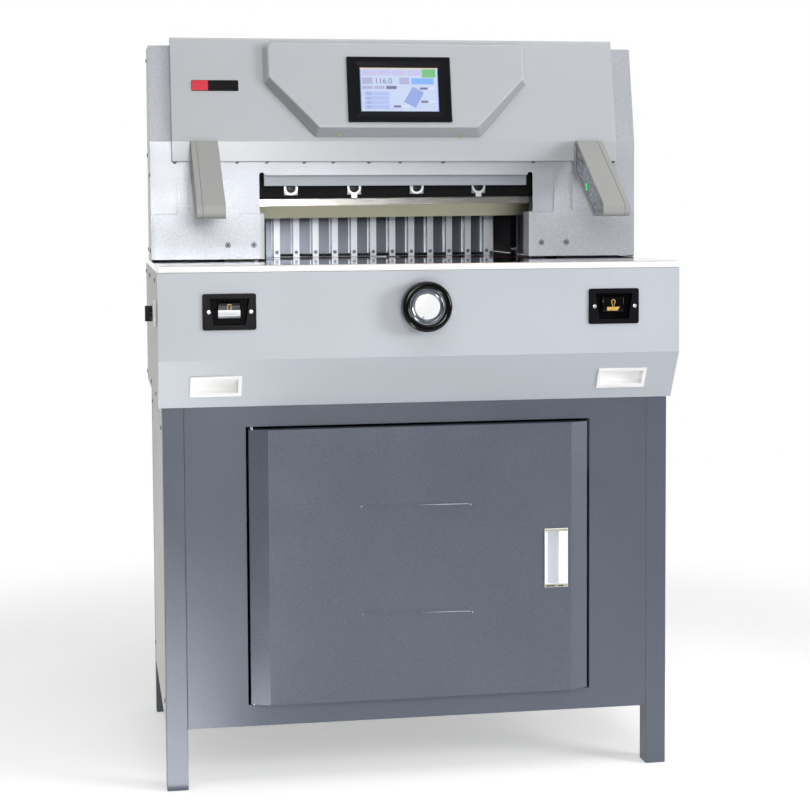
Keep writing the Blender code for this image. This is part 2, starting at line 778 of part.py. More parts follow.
def build_door():
    """The bevelled door pan on its hinge pin, with a flush pull at the right."""
    left = -half(DOORWAY_WIDTH) + DOOR_SIDE_GAP
    front = STAND_FRONT - DOOR_PROUD
    rear = front + DOOR_DEPTH
    edge = STAND_FRONT - DOOR_EDGE_PROUD
    z = (DOORWAY_BOTTOM + DOOR_BOTTOM_GAP, DOORWAY_TOP - DOOR_TOP_GAP)
    axis = (left + HINGE_INSET, STAND_FRONT + HINGE_BEHIND)
    hinge = new_empty("door_axis", (axis[0], axis[1], 0), MACHINE)

    plan = [(left, rear), (left, edge), (left + DOOR_BEVEL_WIDTH, front),
            (-left - DOOR_BEVEL_WIDTH, front), (-left, edge), (-left, rear)]
    door = outline("cabinet_door", plan, "XY", z)
    hollow = inset(plan, SHEET)
    hollow[0] = (hollow[0][0], rear + OVERRUN)
    hollow[-1] = (hollow[-1][0], rear + OVERRUN)
    inside = outline("door_inside", hollow, "XY", (z[0] + SHEET, z[1] - SHEET))
    pin_hole = rod("door_pin_hole", HINGE_PIN_RADIUS + RUNNING_FIT, axis,
                   (z[0] - OVERRUN, z[1] + OVERRUN), "Z", FINE_STEPS)
    rim = PULL_RIM - GAP
    pull_hole = block("door_pull_hole", around(PULL_CENTRE_X, PULL_WIDTH - twice(rim)),
                      (front - OVERRUN, rear), around(PULL_CENTRE_Z, PULL_HEIGHT - twice(rim)))
    tall = DOORWAY_TOP - DOORWAY_BOTTOM
    rib_heights = [(level, DOORWAY_BOTTOM + tall * share) for level, share in DOOR_RIB_SHARES]
    ribs = [block(f"door_rib_{level}", around(DOOR_RIB_CENTRE, DOOR_RIB_LENGTH),
                  (front - DOOR_RIB_DEPTH, front + half(SHEET)), around(up, DOOR_RIB_HEIGHT))
            for level, up in rib_heights]
    finish(cut(join(door, *ribs), inside, pin_hole, pull_hole), "stand_paint", hinge)

    pin = rod("door_hinge_pin", HINGE_PIN_RADIUS, axis, (DOORWAY_BOTTOM + GAP, DOORWAY_TOP - GAP),
              "Z", FINE_STEPS)
    finish(pin, "polished_steel")

    flange_y = (front - GAP - PULL_FLANGE, front - GAP)
    pull = block("door_pull", around(PULL_CENTRE_X, PULL_WIDTH), flange_y,
                 around(PULL_CENTRE_Z, PULL_HEIGHT))
    tub_x = around(PULL_CENTRE_X, PULL_WIDTH - twice(PULL_RIM))
    tub_z = around(PULL_CENTRE_Z, PULL_HEIGHT - twice(PULL_RIM))
    tub = block("pull_tub", tub_x, (middle(flange_y), front + PULL_DEPTH), tub_z)
    pocket_x = (tub_x[0] + PULL_WALL, tub_x[0] + PULL_WALL + PULL_POCKET_WIDTH)
    pocket = block("pull_pocket", pocket_x, (flange_y[0] - OVERRUN, front + PULL_DEPTH - PULL_WALL),
                   (tub_z[0] + PULL_WALL, tub_z[1] - PULL_WALL))
    finish(cut(join(pull, tub), pocket), "white_plastic", hinge)


def apron_path():
    """The apron's outer face in Y and Z, from the base plate up to the edge strip."""
    return [(APRON_SLANT + APRON_FLANGE, BASE_Z), (APRON_SLANT, BASE_Z), (0, APRON_FOLD),
            (0, TABLE_UNDERSIDE - GAP)]


def build_casing():
    """Table plate, white edge strip, apron, side and rear covers and the base plate."""
    wide = half(TABLE_WIDTH)
    tongue = half(TABLE_TONGUE_WIDTH)
    table_z = (TABLE_UNDERSIDE, TABLE_TOP)
    front = STRIP_DEPTH + GAP
    right_half = [(wide, front), (wide, CASING_DEPTH), (TABLE_WING_INNER, CASING_DEPTH),
                  (TABLE_WING_INNER, TABLE_SHOULDER), (tongue, TABLE_SHOULDER),
                  (tongue, STICK_FRONT - GAP)]
    left_half = [(-x, y) for x, y in reversed(right_half)]
    table = outline("table_plate", right_half + left_half, "XY", table_z)
    finish(table, "polished_steel")
    strip = block("table_edge_strip", (-wide, wide), (0, STRIP_DEPTH), table_z)
    finish(soften(strip, STRIP_ROUND), "white_plastic")
    stick = block("cutting_stick", (GAP - tongue, tongue - GAP),
                  (STICK_FRONT, STICK_BACK), table_z)
    finish(stick, "red_plastic")

    apron = folded_sheet("front_apron", apron_path(), TABLE_WIDTH)
    spindle_hole = rod("spindle_hole", SPINDLE_RADIUS + RUNNING_FIT, (0, WHEEL_Z), (-OVERRUN, OVERRUN),
                       "Y", FINE_STEPS)
    cut(apron, spindle_hole)
    for side, word in SIDES:
        pocket_x = around(side * BUTTON_X, POCKET_TOP_WIDTH + twice(POCKET_WALL + GAP))
        pocket_z = around(BUTTON_Z, POCKET_HEIGHT + twice(POCKET_WALL + GAP))
        cut(apron, block(f"pocket_hole_{word}", pocket_x, (-OVERRUN, OVERRUN), pocket_z))
        grip_x = around(side * GRIP_X, GRIP_WIDTH - twice(GRIP_RIM - GAP))
        grip_z = around(-GRIP_ALONG, GRIP_HEIGHT - twice(GRIP_RIM - GAP))
        hole = block(f"grip_hole_{word}", grip_x, (-OVERRUN, OVERRUN), grip_z)
        hole.parent = APRON_FACE
        cut(apron, hole)
    finish(apron, "grey_paint")

    lean = (SHEET + GAP) / math.cos(APRON_LEAN)
    low = BASE_Z + SHEET + GAP
    profile = [(SHEET + GAP, TABLE_UNDERSIDE - GAP), (SHEET + GAP, APRON_FOLD),
               (APRON_SLANT + lean, low), (CASING_DEPTH, low), (CASING_DEPTH, TABLE_UNDERSIDE - GAP)]
    for side, word in SIDES:
        x = on_side(side, wide - SHEET, wide)
        finish(outline(f"side_cover_{word}", profile, "YZ", x), "beige_paint")

    base = block("base_plate", around(0, STAND_WIDTH),
                 (APRON_SLANT + APRON_FLANGE + GAP, CASING_DEPTH), (BASE_Z, BASE_TOP))
    finish(base, "black_iron")

    rear = pan("body_rear_cover", (SHEET + GAP - wide, wide - SHEET - GAP),
               (CASING_DEPTH - PANEL_FLANGE, CASING_DEPTH),
               (BASE_TOP + GAP, TABLE_UNDERSIDE - GAP), "-Y")
    notch = block("nut_way", around(0, TROUGH_WIDTH - twice(SHEET)),
                  (CASING_DEPTH - PANEL_FLANGE - OVERRUN, CASING_DEPTH + OVERRUN),
                  (TABLE_UNDERSIDE - GAP - TROUGH_DEPTH + SHEET, TABLE_UNDERSIDE + OVERRUN))
    inlet_hole = block("inlet_hole", around(INLET_X, INLET_WIDTH + twice(GAP)),
                       (CASING_DEPTH - SHEET - OVERRUN, CASING_DEPTH + OVERRUN),
                       around(INLET_Z, INLET_HEIGHT + twice(GAP)))
    finish(cut(rear, notch, inlet_hole), "grey_paint")

    inlet = block("power_inlet", around(INLET_X, INLET_WIDTH + twice(INLET_RIM)),
                  (CASING_DEPTH + GAP, CASING_DEPTH + GAP + INLET_FLANGE),
                  around(INLET_Z, INLET_HEIGHT + twice(INLET_RIM)))
    tub = block("inlet_tub", around(INLET_X, INLET_WIDTH),
                (CASING_DEPTH - INLET_DEPTH, CASING_DEPTH + half(INLET_FLANGE)),
                around(INLET_Z, INLET_HEIGHT))
    recess = block("inlet_recess", around(INLET_X, INLET_WIDTH - twice(SHEET)),
                   (CASING_DEPTH - INLET_DEPTH + SHEET, CASING_DEPTH + OVERRUN),
                   around(INLET_Z, INLET_HEIGHT - twice(SHEET)))
    finish(cut(join(inlet, tub), recess), "black_plastic")


def build_rear_table():
    """The slotted rear table with its side fences, its hood and the spindle trough."""
    narrow = half(REAR_TABLE_WIDTH)
    wide = TABLE_WING_INNER - GAP
    start = STICK_BACK + GAP
    step = FRAME_END + GAP
    table_z = (TABLE_UNDERSIDE, TABLE_TOP)
    table = block("rear_table", (-narrow, narrow), (start, REAR_TABLE_END), table_z)
    wings = block("rear_table_wings", (-wide, wide), (step, CASING_DEPTH), table_z)
    fence_x = half(THROAT_WIDTH)
    fences = [block(f"fence_{word}", on_side(side, fence_x, fence_x + FENCE_THICKNESS),
                    (FENCE_START, FENCE_END), (TABLE_TOP - half(TABLE_PLATE), TABLE_TOP + FENCE_HEIGHT))
              for side, word in SIDES]
    slot = block("gauge_slot", around(0, SLOT_WIDTH), (SLOT_START, SLOT_END),
                 (TABLE_UNDERSIDE - OVERRUN, TABLE_TOP + OVERRUN))
    finish(cut(join(table, wings, *fences), slot), "polished_steel")

    hood_y = (HEAD_REAR + SHEET + GAP, REAR_TABLE_END)
    hood_z = (TABLE_TOP + GAP, TABLE_TOP + GAP + REAR_HOOD_HEIGHT)
    hood = block("rear_table_hood", (-narrow, narrow), hood_y, hood_z)
    inside = block("hood_inside", (SHEET - narrow, narrow - SHEET),
                   (hood_y[0] - OVERRUN, hood_y[1] - SHEET), (hood_z[0] - OVERRUN, hood_z[1] - SHEET))
    finish(cut(hood, inside), "grey_paint")

    top = TABLE_UNDERSIDE - GAP
    bottom = top - TROUGH_DEPTH
    trough_x = around(0, TROUGH_WIDTH)
    trough = block("spindle_trough", trough_x, (CASING_DEPTH + GAP, TROUGH_END), (bottom, top))
    inside = block("trough_inside", (trough_x[0] + SHEET, trough_x[1] - SHEET),
                   (CASING_DEPTH - OVERRUN, TROUGH_END - SHEET), (bottom + SHEET, top + OVERRUN))
    bearing = rod("spindle_bearing", SPINDLE_RADIUS + RUNNING_FIT, (0, WHEEL_Z),
                  (TROUGH_END - OVERRUN, TROUGH_END + OVERRUN), "Y", FINE_STEPS)
    finish(cut(trough, inside, bearing), "grey_paint")


def build_buttons():
    """The two start buttons, each in a black bezel with a tapered finger pocket."""
    for side, word in SIDES:
        x = side * BUTTON_X
        low = BUTTON_Z - half(POCKET_HEIGHT)
        high = BUTTON_Z + half(POCKET_HEIGHT)
        plate_y = (-GAP - BUTTON_BEZEL_THICKNESS, -GAP)
        corners = rectangle(around(x, BUTTON_BEZEL_WIDTH), around(BUTTON_Z, BUTTON_BEZEL_HEIGHT))
        bezel = outline(f"button_bezel_{word}", rounded(corners, BUTTON_BEZEL_ROUND), "XZ", plate_y)
        pocket = [(x - half(POCKET_BOTTOM_WIDTH), low), (x + half(POCKET_BOTTOM_WIDTH), low),
                  (x + half(POCKET_TOP_WIDTH), high), (x - half(POCKET_TOP_WIDTH), high)]
        floor = POCKET_DEPTH - POCKET_WALL
        tub = outline(f"tub_{word}", inset(pocket, -POCKET_WALL), "XZ", (middle(plate_y), POCKET_DEPTH))
        recess = outline(f"recess_{word}", pocket, "XZ", (plate_y[0] - OVERRUN, floor))
        lift = BUTTON_Z + BUTTON_LIFT
        way = block(f"button_way_{word}", around(x, BUTTON_WIDTH + twice(GAP)),
                    (floor - OVERRUN, POCKET_DEPTH + OVERRUN),
                    around(lift, BUTTON_HEIGHT + twice(GAP)))
        finish(cut(join(bezel, tub), recess, way), "black_plastic")
        pivot = new_empty(f"button_{word}_axis", (x, BUTTON_FRONT, lift), MACHINE)
        bottom, top = around(lift, BUTTON_HEIGHT)
        back = BUTTON_FRONT + BUTTON_LENGTH
        shoulder = BUTTON_FRONT + BUTTON_CROWN
        face = [(y, z) for z, y in crown((bottom, shoulder), (top, shoulder), -BUTTON_CROWN)]
        button = outline(f"start_button_{word}", [(back, bottom)] + face + [(back, top)], "YZ",
                         around(x, BUTTON_WIDTH))
        finish(soften(button, BUTTON_ROUND), "black_plastic", pivot)


def build_grips():
    """White flush grips let into the slanted part of the apron."""
    for side, word in SIDES:
        x = around(side * GRIP_X, GRIP_WIDTH)
        z = around(-GRIP_ALONG, GRIP_HEIGHT)
        grip = block(f"pull_grip_{word}", x, (-GAP - GRIP_FLANGE, -GAP), z)
        tub_x = (x[0] + GRIP_RIM, x[1] - GRIP_RIM)
        tub_z = (z[0] + GRIP_RIM, z[1] - GRIP_RIM)
        tub = block(f"grip_tub_{word}", tub_x, (-GAP - half(GRIP_FLANGE), GRIP_DEPTH), tub_z)
        pocket = block(f"grip_pocket_{word}", (tub_x[0] + GRIP_WALL, tub_x[1] - GRIP_WALL),
                       (-GRIP_FLANGE - OVERRUN, GRIP_DEPTH - GRIP_WALL),
                       (tub_z[0] + GRIP_WALL, tub_z[1] - GRIP_WALL))
        for piece in (grip, tub, pocket):
            piece.parent = APRON_FACE
        finish(cut(join(grip, tub), pocket), "white_plastic")


def build_handwheel():
    """The handwheel with its bright disc, and the spindle that it turns."""
    pivot = new_empty("handwheel_axis", (0, WHEEL_BACK, WHEEL_Z), MACHINE)
    floor = WHEEL_LENGTH - WHEEL_DISH_DEPTH
    rim = WHEEL_LENGTH - WHEEL_CROWN
    profile = [(0, floor), (WHEEL_DISH_RADIUS, floor),
               *crown((WHEEL_DISH_RADIUS, rim), (WHEEL_RADIUS, rim), WHEEL_CROWN),
               (WHEEL_RADIUS, WHEEL_NECK_LENGTH), (WHEEL_NECK_RADIUS, WHEEL_NECK_LENGTH),
               (WHEEL_NECK_RADIUS, 0), (0, 0)]
    finish(turned("handwheel", profile, (0, WHEEL_BACK, WHEEL_Z)), "black_plastic", pivot)
    ledge = DISC_THICKNESS - DISC_STEP
    profile = [(0, DISC_THICKNESS), (WHEEL_CAP_RADIUS, DISC_THICKNESS), (WHEEL_CAP_RADIUS, ledge),
               (WHEEL_DISC_RADIUS, ledge), (WHEEL_DISC_RADIUS, 0), (0, 0)]
    disc = turned("handwheel_disc", profile, (0, WHEEL_BACK - floor - GAP, WHEEL_Z))
    finish(disc, "polished_steel", pivot)
    spindle = rod("gauge_spindle", SPINDLE_RADIUS, (0, WHEEL_Z),
                  (WHEEL_BACK + GAP, TROUGH_END - half(SHEET)), "Y", FINE_STEPS)
    finish(spindle, "polished_steel", pivot)


def build_back_gauge():
    """The comb of fingers on its foot, with the nut that rides on the spindle."""
    pivot = new_empty("gauge_axis", (0, GAUGE_FRONT, WHEEL_Z), MACHINE)
    half_width = half(GAUGE_FINGERS * GAUGE_PITCH)
    shoulder = GAUGE_FRONT + GAUGE_FINGER_DEPTH
    back = shoulder + GAUGE_WEB
    bottom = TABLE_TOP + GAP
    comb_z = (bottom, bottom + GAUGE_HEIGHT)
    gauge = block("back_gauge", (-half_width, half_width), (shoulder, back), comb_z)
    first = half(GAUGE_PITCH) - half_width
    fingers = block("gauge_fingers", around(first, GAUGE_FINGER_WIDTH),
                    (GAUGE_FRONT, middle((shoulder, back))), comb_z)
    repeat(fingers, GAUGE_FINGERS, (GAUGE_PITCH, 0, 0))
    foot_y = (middle((shoulder, back)), back + GAUGE_FOOT_DEPTH)
    foot = block("gauge_foot", (GAP - half_width, half_width - GAP), foot_y,
                 (bottom + GAP, bottom + GAUGE_FOOT_HEIGHT))
    shank_y = around(middle(foot_y), NUT_LENGTH)
    shank = block("gauge_shank", around(0, SHANK_WIDTH), (shank_y[0] + GAP, shank_y[1] - GAP),
                  (WHEEL_Z + half(half(NUT_SIZE)), bottom + half(GAUGE_FOOT_HEIGHT)))
    nut = block("gauge_nut", around(0, NUT_SIZE), shank_y, around(WHEEL_Z, NUT_SIZE))
    bore = rod("gauge_nut_bore", SPINDLE_RADIUS + RUNNING_FIT, (0, WHEEL_Z),
               (shank_y[0] - OVERRUN, shank_y[1] + OVERRUN), "Y", FINE_STEPS)
    finish(cut(join(gauge, fingers, foot, shank, nut), bore), "cast_aluminium", pivot)


def build_switch():
    """The rotary main switch on the left side cover."""
    face = -half(TABLE_WIDTH) - GAP
    base_x = (face - SWITCH_BASE_THICKNESS, face)
    base = block("main_switch_base", base_x, around(SWITCH_Y, SWITCH_BASE_WIDTH),
                 around(SWITCH_Z, SWITCH_BASE_HEIGHT))
    finish(soften(base, BUTTON_ROUND), "white_plastic")
    pivot = new_empty("switch_axis", (base_x[0], SWITCH_Y, SWITCH_Z), MACHINE)
    knob_x = (base_x[0] - GAP - SWITCH_KNOB_LENGTH, base_x[0] - GAP)
    knob = rod("main_switch_knob", SWITCH_KNOB_RADIUS, (SWITCH_Y, SWITCH_Z), knob_x, "X")
    cheeks = []
    for side, word in SIDES:
        inner = SWITCH_Y + side * half(SWITCH_GRIP_WIDTH)
        outer = SWITCH_Y + side * (SWITCH_KNOB_RADIUS + OVERRUN)
        cheek_z = around(SWITCH_Z, twice(SWITCH_KNOB_RADIUS + OVERRUN))
        cheeks.append(block(f"knob_cheek_{word}", (knob_x[0] - OVERRUN, knob_x[0] + SWITCH_GRIP_CUT),
                            tuple(sorted((inner, outer))), cheek_z))
    finish(cut(knob, *cheeks), "black_plastic", pivot)


def build_head():
    """Folded front plate, guard strip, side covers, rear cover and the two brackets."""
    wide = half(TABLE_WIDTH)
    bottom = TABLE_TOP + PLATE_LIFT
    top_y = PLATE_FRONT + (HEAD_TOP - HEAD_FOLD) * HEAD_LEAN
    plate = folded_sheet("head_front_plate", [(PLATE_FRONT, bottom), (PLATE_FRONT, HEAD_FOLD),
                                              (top_y, HEAD_TOP)], TABLE_WIDTH)
    through = (PLATE_FRONT - OVERRUN, PLATE_BACK + OVERRUN)
    throat = block("throat", around(0, THROAT_WIDTH), through, (bottom - OVERRUN, THROAT_TOP))
    reliefs = []
    for side, word in SIDES:
        x = around(side * half(THROAT_WIDTH), RELIEF_WIDTH)
        z = (BRACKET_TOP, RELIEF_TOP)
        ends = rounded(rectangle(x, z), half(RELIEF_WIDTH) - GAP)
        reliefs.append(outline(f"relief_{word}", ends, "XZ", through))
    finish(cut(plate, throat, *reliefs), "light_paint")

    guard_y = PLATE_FRONT + GUARD_SETBACK
    guard = folded_sheet("throat_guard", [(PLATE_BACK + GAP, GUARD_TOP), (guard_y + SHEET, GUARD_TOP),
                                          (guard_y + SHEET, GUARD_BOTTOM)], THROAT_WIDTH - RELIEF_WIDTH)
    finish(guard, "grey_paint")

    rise = HEAD_TOP - SHEET - GAP
    front = PLATE_BACK + GAP
    lean = (SHEET + GAP) / math.cos(HEAD_SLOPE) - SHEET - GAP
    slanted = front + (rise - HEAD_FOLD) * HEAD_LEAN + lean
    profile = [(front, TABLE_TOP + GAP), (HEAD_REAR - GAP, TABLE_TOP + GAP), (HEAD_REAR - GAP, rise),
               (slanted, rise), (front + lean, HEAD_FOLD), (front, HEAD_FOLD - SHEET)]
    for side, word in SIDES:
        x = on_side(side, wide - SHEET, wide)
        finish(outline(f"head_side_{word}", profile, "YZ", x), "grey_paint")

    cap_start = front + (HEAD_TOP - HEAD_FOLD) * HEAD_LEAN + lean
    rear = folded_sheet("head_rear_cover", [(cap_start, HEAD_TOP), (HEAD_REAR + SHEET, HEAD_TOP),
                                            (HEAD_REAR + SHEET, TABLE_TOP + GAP)], TABLE_WIDTH)
    window_x = half(REAR_TABLE_WIDTH) - SHEET
    window = block("rear_window", (-window_x, window_x), (HEAD_REAR - OVERRUN, HEAD_REAR + OVERRUN),
                   (TABLE_TOP - OVERRUN, TABLE_TOP + REAR_HOOD_HEIGHT - SHEET))
    finish(cut(rear, window), "grey_paint")

    face = PLATE_FRONT - GAP
    for side, word in SIDES:
        shape = [(BRACKET_INNER, bottom), (BRACKET_OUTER, bottom), (BRACKET_OUTER, BRACKET_TOP),
                 (TAB_OUTER, BRACKET_TOP), (TAB_OUTER, TAB_TOP), (TAB_INNER, TAB_TOP),
                 (TAB_INNER, BRACKET_TOP), (BRACKET_INNER, BRACKET_TOP)]
        bracket = outline(f"bracket_plate_{word}", [(side * x, z) for x, z in shape], "XZ",
                          (face - BRACKET_THICKNESS, face))
        flange = block(f"bracket_flange_{word}", on_side(side, BRACKET_INNER, BRACKET_INNER + SHEET),
                       (face - BRACKET_THICKNESS, BRACKET_FLANGE_END), (bottom, BRACKET_TOP))
        front = face - BRACKET_THICKNESS
        mount = block(f"arm_mount_{word}", around(side * ARM_CENTRE, ARM_MOUNT_WIDTH),
                      (front - ARM_MOUNT_THICKNESS, middle((front, face))),
                      (TAB_TOP - GAP - ARM_MOUNT_HEIGHT, TAB_TOP - GAP))
        finish(join(bracket, flange, mount), "light_paint")


def build_cover():
    """The raised front cover of the head, the drafted hexagonal box and the display."""
    rise_y = COVER_RISE * math.sin(HEAD_SLOPE)
    rise_z = COVER_RISE * math.cos(HEAD_SLOPE)
    depth = COVER_PROUD * math.cos(HEAD_SLOPE) - GAP
    top = (COVER_FRONT + rise_y, HEAD_FOLD + rise_z)
    back = (top[0] + depth * math.cos(HEAD_SLOPE), top[1] - depth * math.sin(HEAD_SLOPE))
    profile = [(PLATE_FRONT - GAP, COVER_BOTTOM), (COVER_FRONT, COVER_BOTTOM),
               (COVER_FRONT, HEAD_FOLD), top, back, (PLATE_FRONT - GAP, HEAD_FOLD - GAP)]
    wide = half(COVER_WIDTH)
    shape = profile[:3] + corner_arc(profile[2], top, back, COVER_ROUND) + profile[4:]
    cover = outline("head_cover", shape, "YZ", (-wide, wide))
    hollow = inset(profile, SHEET)
    hollow[0] = (PLATE_FRONT + OVERRUN, hollow[0][1])
    hollow[-1] = (PLATE_FRONT + OVERRUN, HEAD_FOLD)
    reach = OVERRUN + SHEET
    hollow[-2] = (hollow[-2][0] + reach * math.cos(HEAD_SLOPE), hollow[-2][1] - reach * math.sin(HEAD_SLOPE))
    finish(cut(cover, outline("cover_inside", hollow, "YZ", (SHEET - wide, wide - SHEET))), "grey_paint")

    base = [(-BOX_BASE_HALF, BOX_BASE_TOP), (-BOX_BASE_HALF, BOX_BASE_CORNER),
            (-BOX_BASE_BOTTOM_HALF, BOX_BASE_BOTTOM), (BOX_BASE_BOTTOM_HALF, BOX_BASE_BOTTOM),
            (BOX_BASE_HALF, BOX_BASE_CORNER), (BOX_BASE_HALF, BOX_BASE_TOP)]
    wide = BOX_BASE_HALF - BOX_SIDE_DRAFT
    narrow = BOX_BASE_BOTTOM_HALF - BOX_BOTTOM_SIDE_DRAFT
    top = BOX_BASE_TOP - BOX_TOP_DRAFT
    corner = BOX_BASE_CORNER + BOX_CORNER_DRAFT
    bottom = BOX_BASE_BOTTOM + BOX_BOTTOM_DRAFT
    face = [(-wide, top), (-wide, corner), (-narrow, bottom), (narrow, bottom), (wide, corner), (wide, top)]
    base = rounded(base, BOX_ROUND)
    box = outline("control_box", base, "XZ", (-BOX_DEPTH, -GAP))
    draft(box, base, rounded(face, BOX_ROUND))
    front = -BOX_DEPTH - GAP
    bezel_z = (BEZEL_BOTTOM, BEZEL_BOTTOM + BEZEL_HEIGHT)
    bezel = block("display_bezel", around(BEZEL_X, BEZEL_WIDTH), (front - BEZEL_THICKNESS, front), bezel_z)
    window_x = around(BEZEL_X, SCREEN_WIDTH)
    window_z = around(middle(bezel_z), SCREEN_HEIGHT)
    window = block("display_window", window_x, (front - BEZEL_THICKNESS - OVERRUN, front + OVERRUN),
                   window_z)
    rise = BEZEL_THICKNESS - SCREEN_THICKNESS
    slope = outline("display_slope", rectangle(window_x, window_z), "XZ",
                    (front - BEZEL_THICKNESS - OVERRUN, front - SCREEN_THICKNESS))
    flare = BEZEL_SLOPE * (rise + OVERRUN) / rise
    draft(slope, rectangle(window_x, window_z), inset(rectangle(window_x, window_z), -flare))
    screen = block("display_screen", around(BEZEL_X, SCREEN_WIDTH - twice(GAP)),
                   (front - SCREEN_THICKNESS, front),
                   around(middle(bezel_z), SCREEN_HEIGHT - twice(GAP)))
    for piece in (box, bezel, window, slope, screen):
        piece.parent = HEAD_FACE
    finish(box, "grey_paint")
    finish(cut(soften(bezel, BEZEL_CHAMFER, 1), window, slope), "black_plastic")
    finish(screen, "screen_glass")


def draft(box, base, face):
    """Draws the front of a prism in from its base outline to its face outline."""
    front = max(vertex.co.z for vertex in box.data.vertices)
    for vertex in box.data.vertices:
        if front - vertex.co.z < WELD:
            flat = Vector(vertex.co[:2])
            index = min(range(len(base)), key=lambda i: (flat - Vector(base[i])).length)
            vertex.co.x, vertex.co.y = face[index]


def build_arms():
    """The two light barrier arms, with a shallow window on their inner sides."""
    root = COVER_FRONT - GAP
    toe = COVER_FRONT - ARM_REACH
    profile = [(root, ARM_TOP), (root - ARM_TOP_LEDGE, ARM_TOP), (toe, ARM_TOE_TOP),
               (toe, ARM_TOE_BOTTOM), (toe + ARM_TOE_LENGTH, ARM_TOE_BOTTOM), (root, ARM_HEEL)]
    window = inset(profile, WINDOW_RIM)
    shape = rounded(profile, ARM_ROUND)
    groove = inset(shape, ARM_SEAM_DEPTH)
    seam = ARM_INNER + ARM_WIDTH - ARM_SEAM_INSET
    for side, word in SIDES:
        x = on_side(side, ARM_INNER, ARM_INNER + ARM_WIDTH)
        arm = outline(f"barrier_arm_{word}", shape, "YZ", on_side(side, ARM_INNER, seam))
        core = outline(f"arm_core_{word}", groove, "YZ",
                       on_side(side, ARM_INNER + half(ARM_WIDTH), seam + half(ARM_SEAM_INSET)))
        lid = outline(f"arm_lid_{word}", shape, "YZ",
                      on_side(side, seam + ARM_SEAM_WIDTH, ARM_INNER + ARM_WIDTH))
        foot = block(f"arm_foot_{word}", (x[0] + WINDOW_RIM, x[1] - WINDOW_RIM),
                     (root - OVERRUN, PLATE_FRONT - GAP), (ARM_HEEL + GAP, COVER_BOTTOM - GAP))
        recess = outline(f"arm_window_{word}", window, "YZ",
                         on_side(side, ARM_INNER - OVERRUN, ARM_INNER + WINDOW_DEPTH))
        finish(cut(join(arm, core, lid, foot), recess), "arm_plastic")


def build_knife():
    """Carrier beam with its connecting rod, bevelled blade and the four knife bolts."""
    beam = block("knife_beam", around(0, BEAM_WIDTH), (BEAM_FRONT, BEAM_BACK),
                 (BEAM_BOTTOM - BLADE_EDGE_Z, BEAM_BOTTOM + BEAM_HEIGHT - BLADE_EDGE_Z))
    eye_z = CRANK_Z + CRANK_THROW_Z - BLADE_EDGE_Z
    rod_y = (BEAM_FRONT, BEAM_FRONT + ROD_THICKNESS)
    link = block("rod_shank", around(ROD_X, ROD_WIDTH), rod_y,
                 (eye_z, BEAM_BOTTOM - BLADE_EDGE_Z + half(ROD_WIDTH)))
    eye = rod("rod_eye", ROD_EYE_RADIUS, (ROD_X, eye_z), rod_y, "Y")
    bore = rod("rod_bore", ROD_BORE_RADIUS, (ROD_X, eye_z), (rod_y[0] - OVERRUN, rod_y[1] + OVERRUN), "Y")
    link.parent = eye.parent = bore.parent = KNIFE_FRAME
    join(beam, link, eye)
    for index in range(BOLT_COUNT):
        x = BLADE_WIDTH * (BOLT_FIRST_SHARE + BOLT_PITCH_SHARE * index)
        z = BOLT_Z - BLADE_EDGE_Z
        hole = rod(f"bolt_hole_{index}", BOLT_SHANK_RADIUS + GAP, (x, z),
                   (BEAM_FRONT - OVERRUN, BEAM_BACK + OVERRUN), "Y", BOLT_STEPS)
        hole.parent = KNIFE_FRAME
        cut(beam, hole)
        profile = [(0, BOLT_HEAD_HEIGHT), (BOLT_HEAD_RADIUS, BOLT_HEAD_HEIGHT),
                   (BOLT_HEAD_RADIUS, BOLT_SEAT), (BOLT_RING_INNER, BOLT_SEAT),
                   (BOLT_RING_INNER, BOLT_RING_THICKNESS), (BOLT_RING_RADIUS, BOLT_RING_THICKNESS),
                   (BOLT_RING_RADIUS, 0), (BOLT_SHANK_RADIUS, 0), (BOLT_SHANK_RADIUS, -BEAM_THICKNESS),
                   (0, -BEAM_THICKNESS)]
        seat = BEAM_FRONT - GAP
        bolt = turned(f"knife_bolt_{index + 1}", profile, (x, seat, z), BOLT_STEPS)
        plate = block(f"bolt_plate_{index}", around(x, BOLT_PLATE_SIZE), (seat - BOLT_PLATE_THICKNESS, seat),
                      around(z, BOLT_PLATE_SIZE))
        bolt.parent = plate.parent = KNIFE_FRAME
        join(bolt, plate)
        if index + 1 in STEMMED_BOLTS:
            stem = block(f"bolt_stem_{index}", around(x, BOLT_STEM_WIDTH), (seat - BOLT_STEM_THICKNESS, seat),
                         (BEAM_BOTTOM - BLADE_EDGE_Z, z - middle((BOLT_RING_INNER, BOLT_RING_RADIUS))))
            stem.parent = KNIFE_FRAME
            join(bolt, stem)
        finish(bolt, "polished_steel")
    cut(beam, bore)
    beam.parent = KNIFE_FRAME
    finish(beam, "black_iron")

    back = BLADE_FRONT + BLADE_THICKNESS
    section = [(back, 0), (back, BLADE_HEIGHT), (BLADE_FRONT, BLADE_HEIGHT),
               (BLADE_FRONT, BEVEL_HEIGHT), (back - BLADE_EDGE_LAND, 0)]
    blade = outline("knife_blade", section, "YZ", around(0, BLADE_WIDTH))
    blade.parent = KNIFE_FRAME
    finish(blade, "knife_steel")


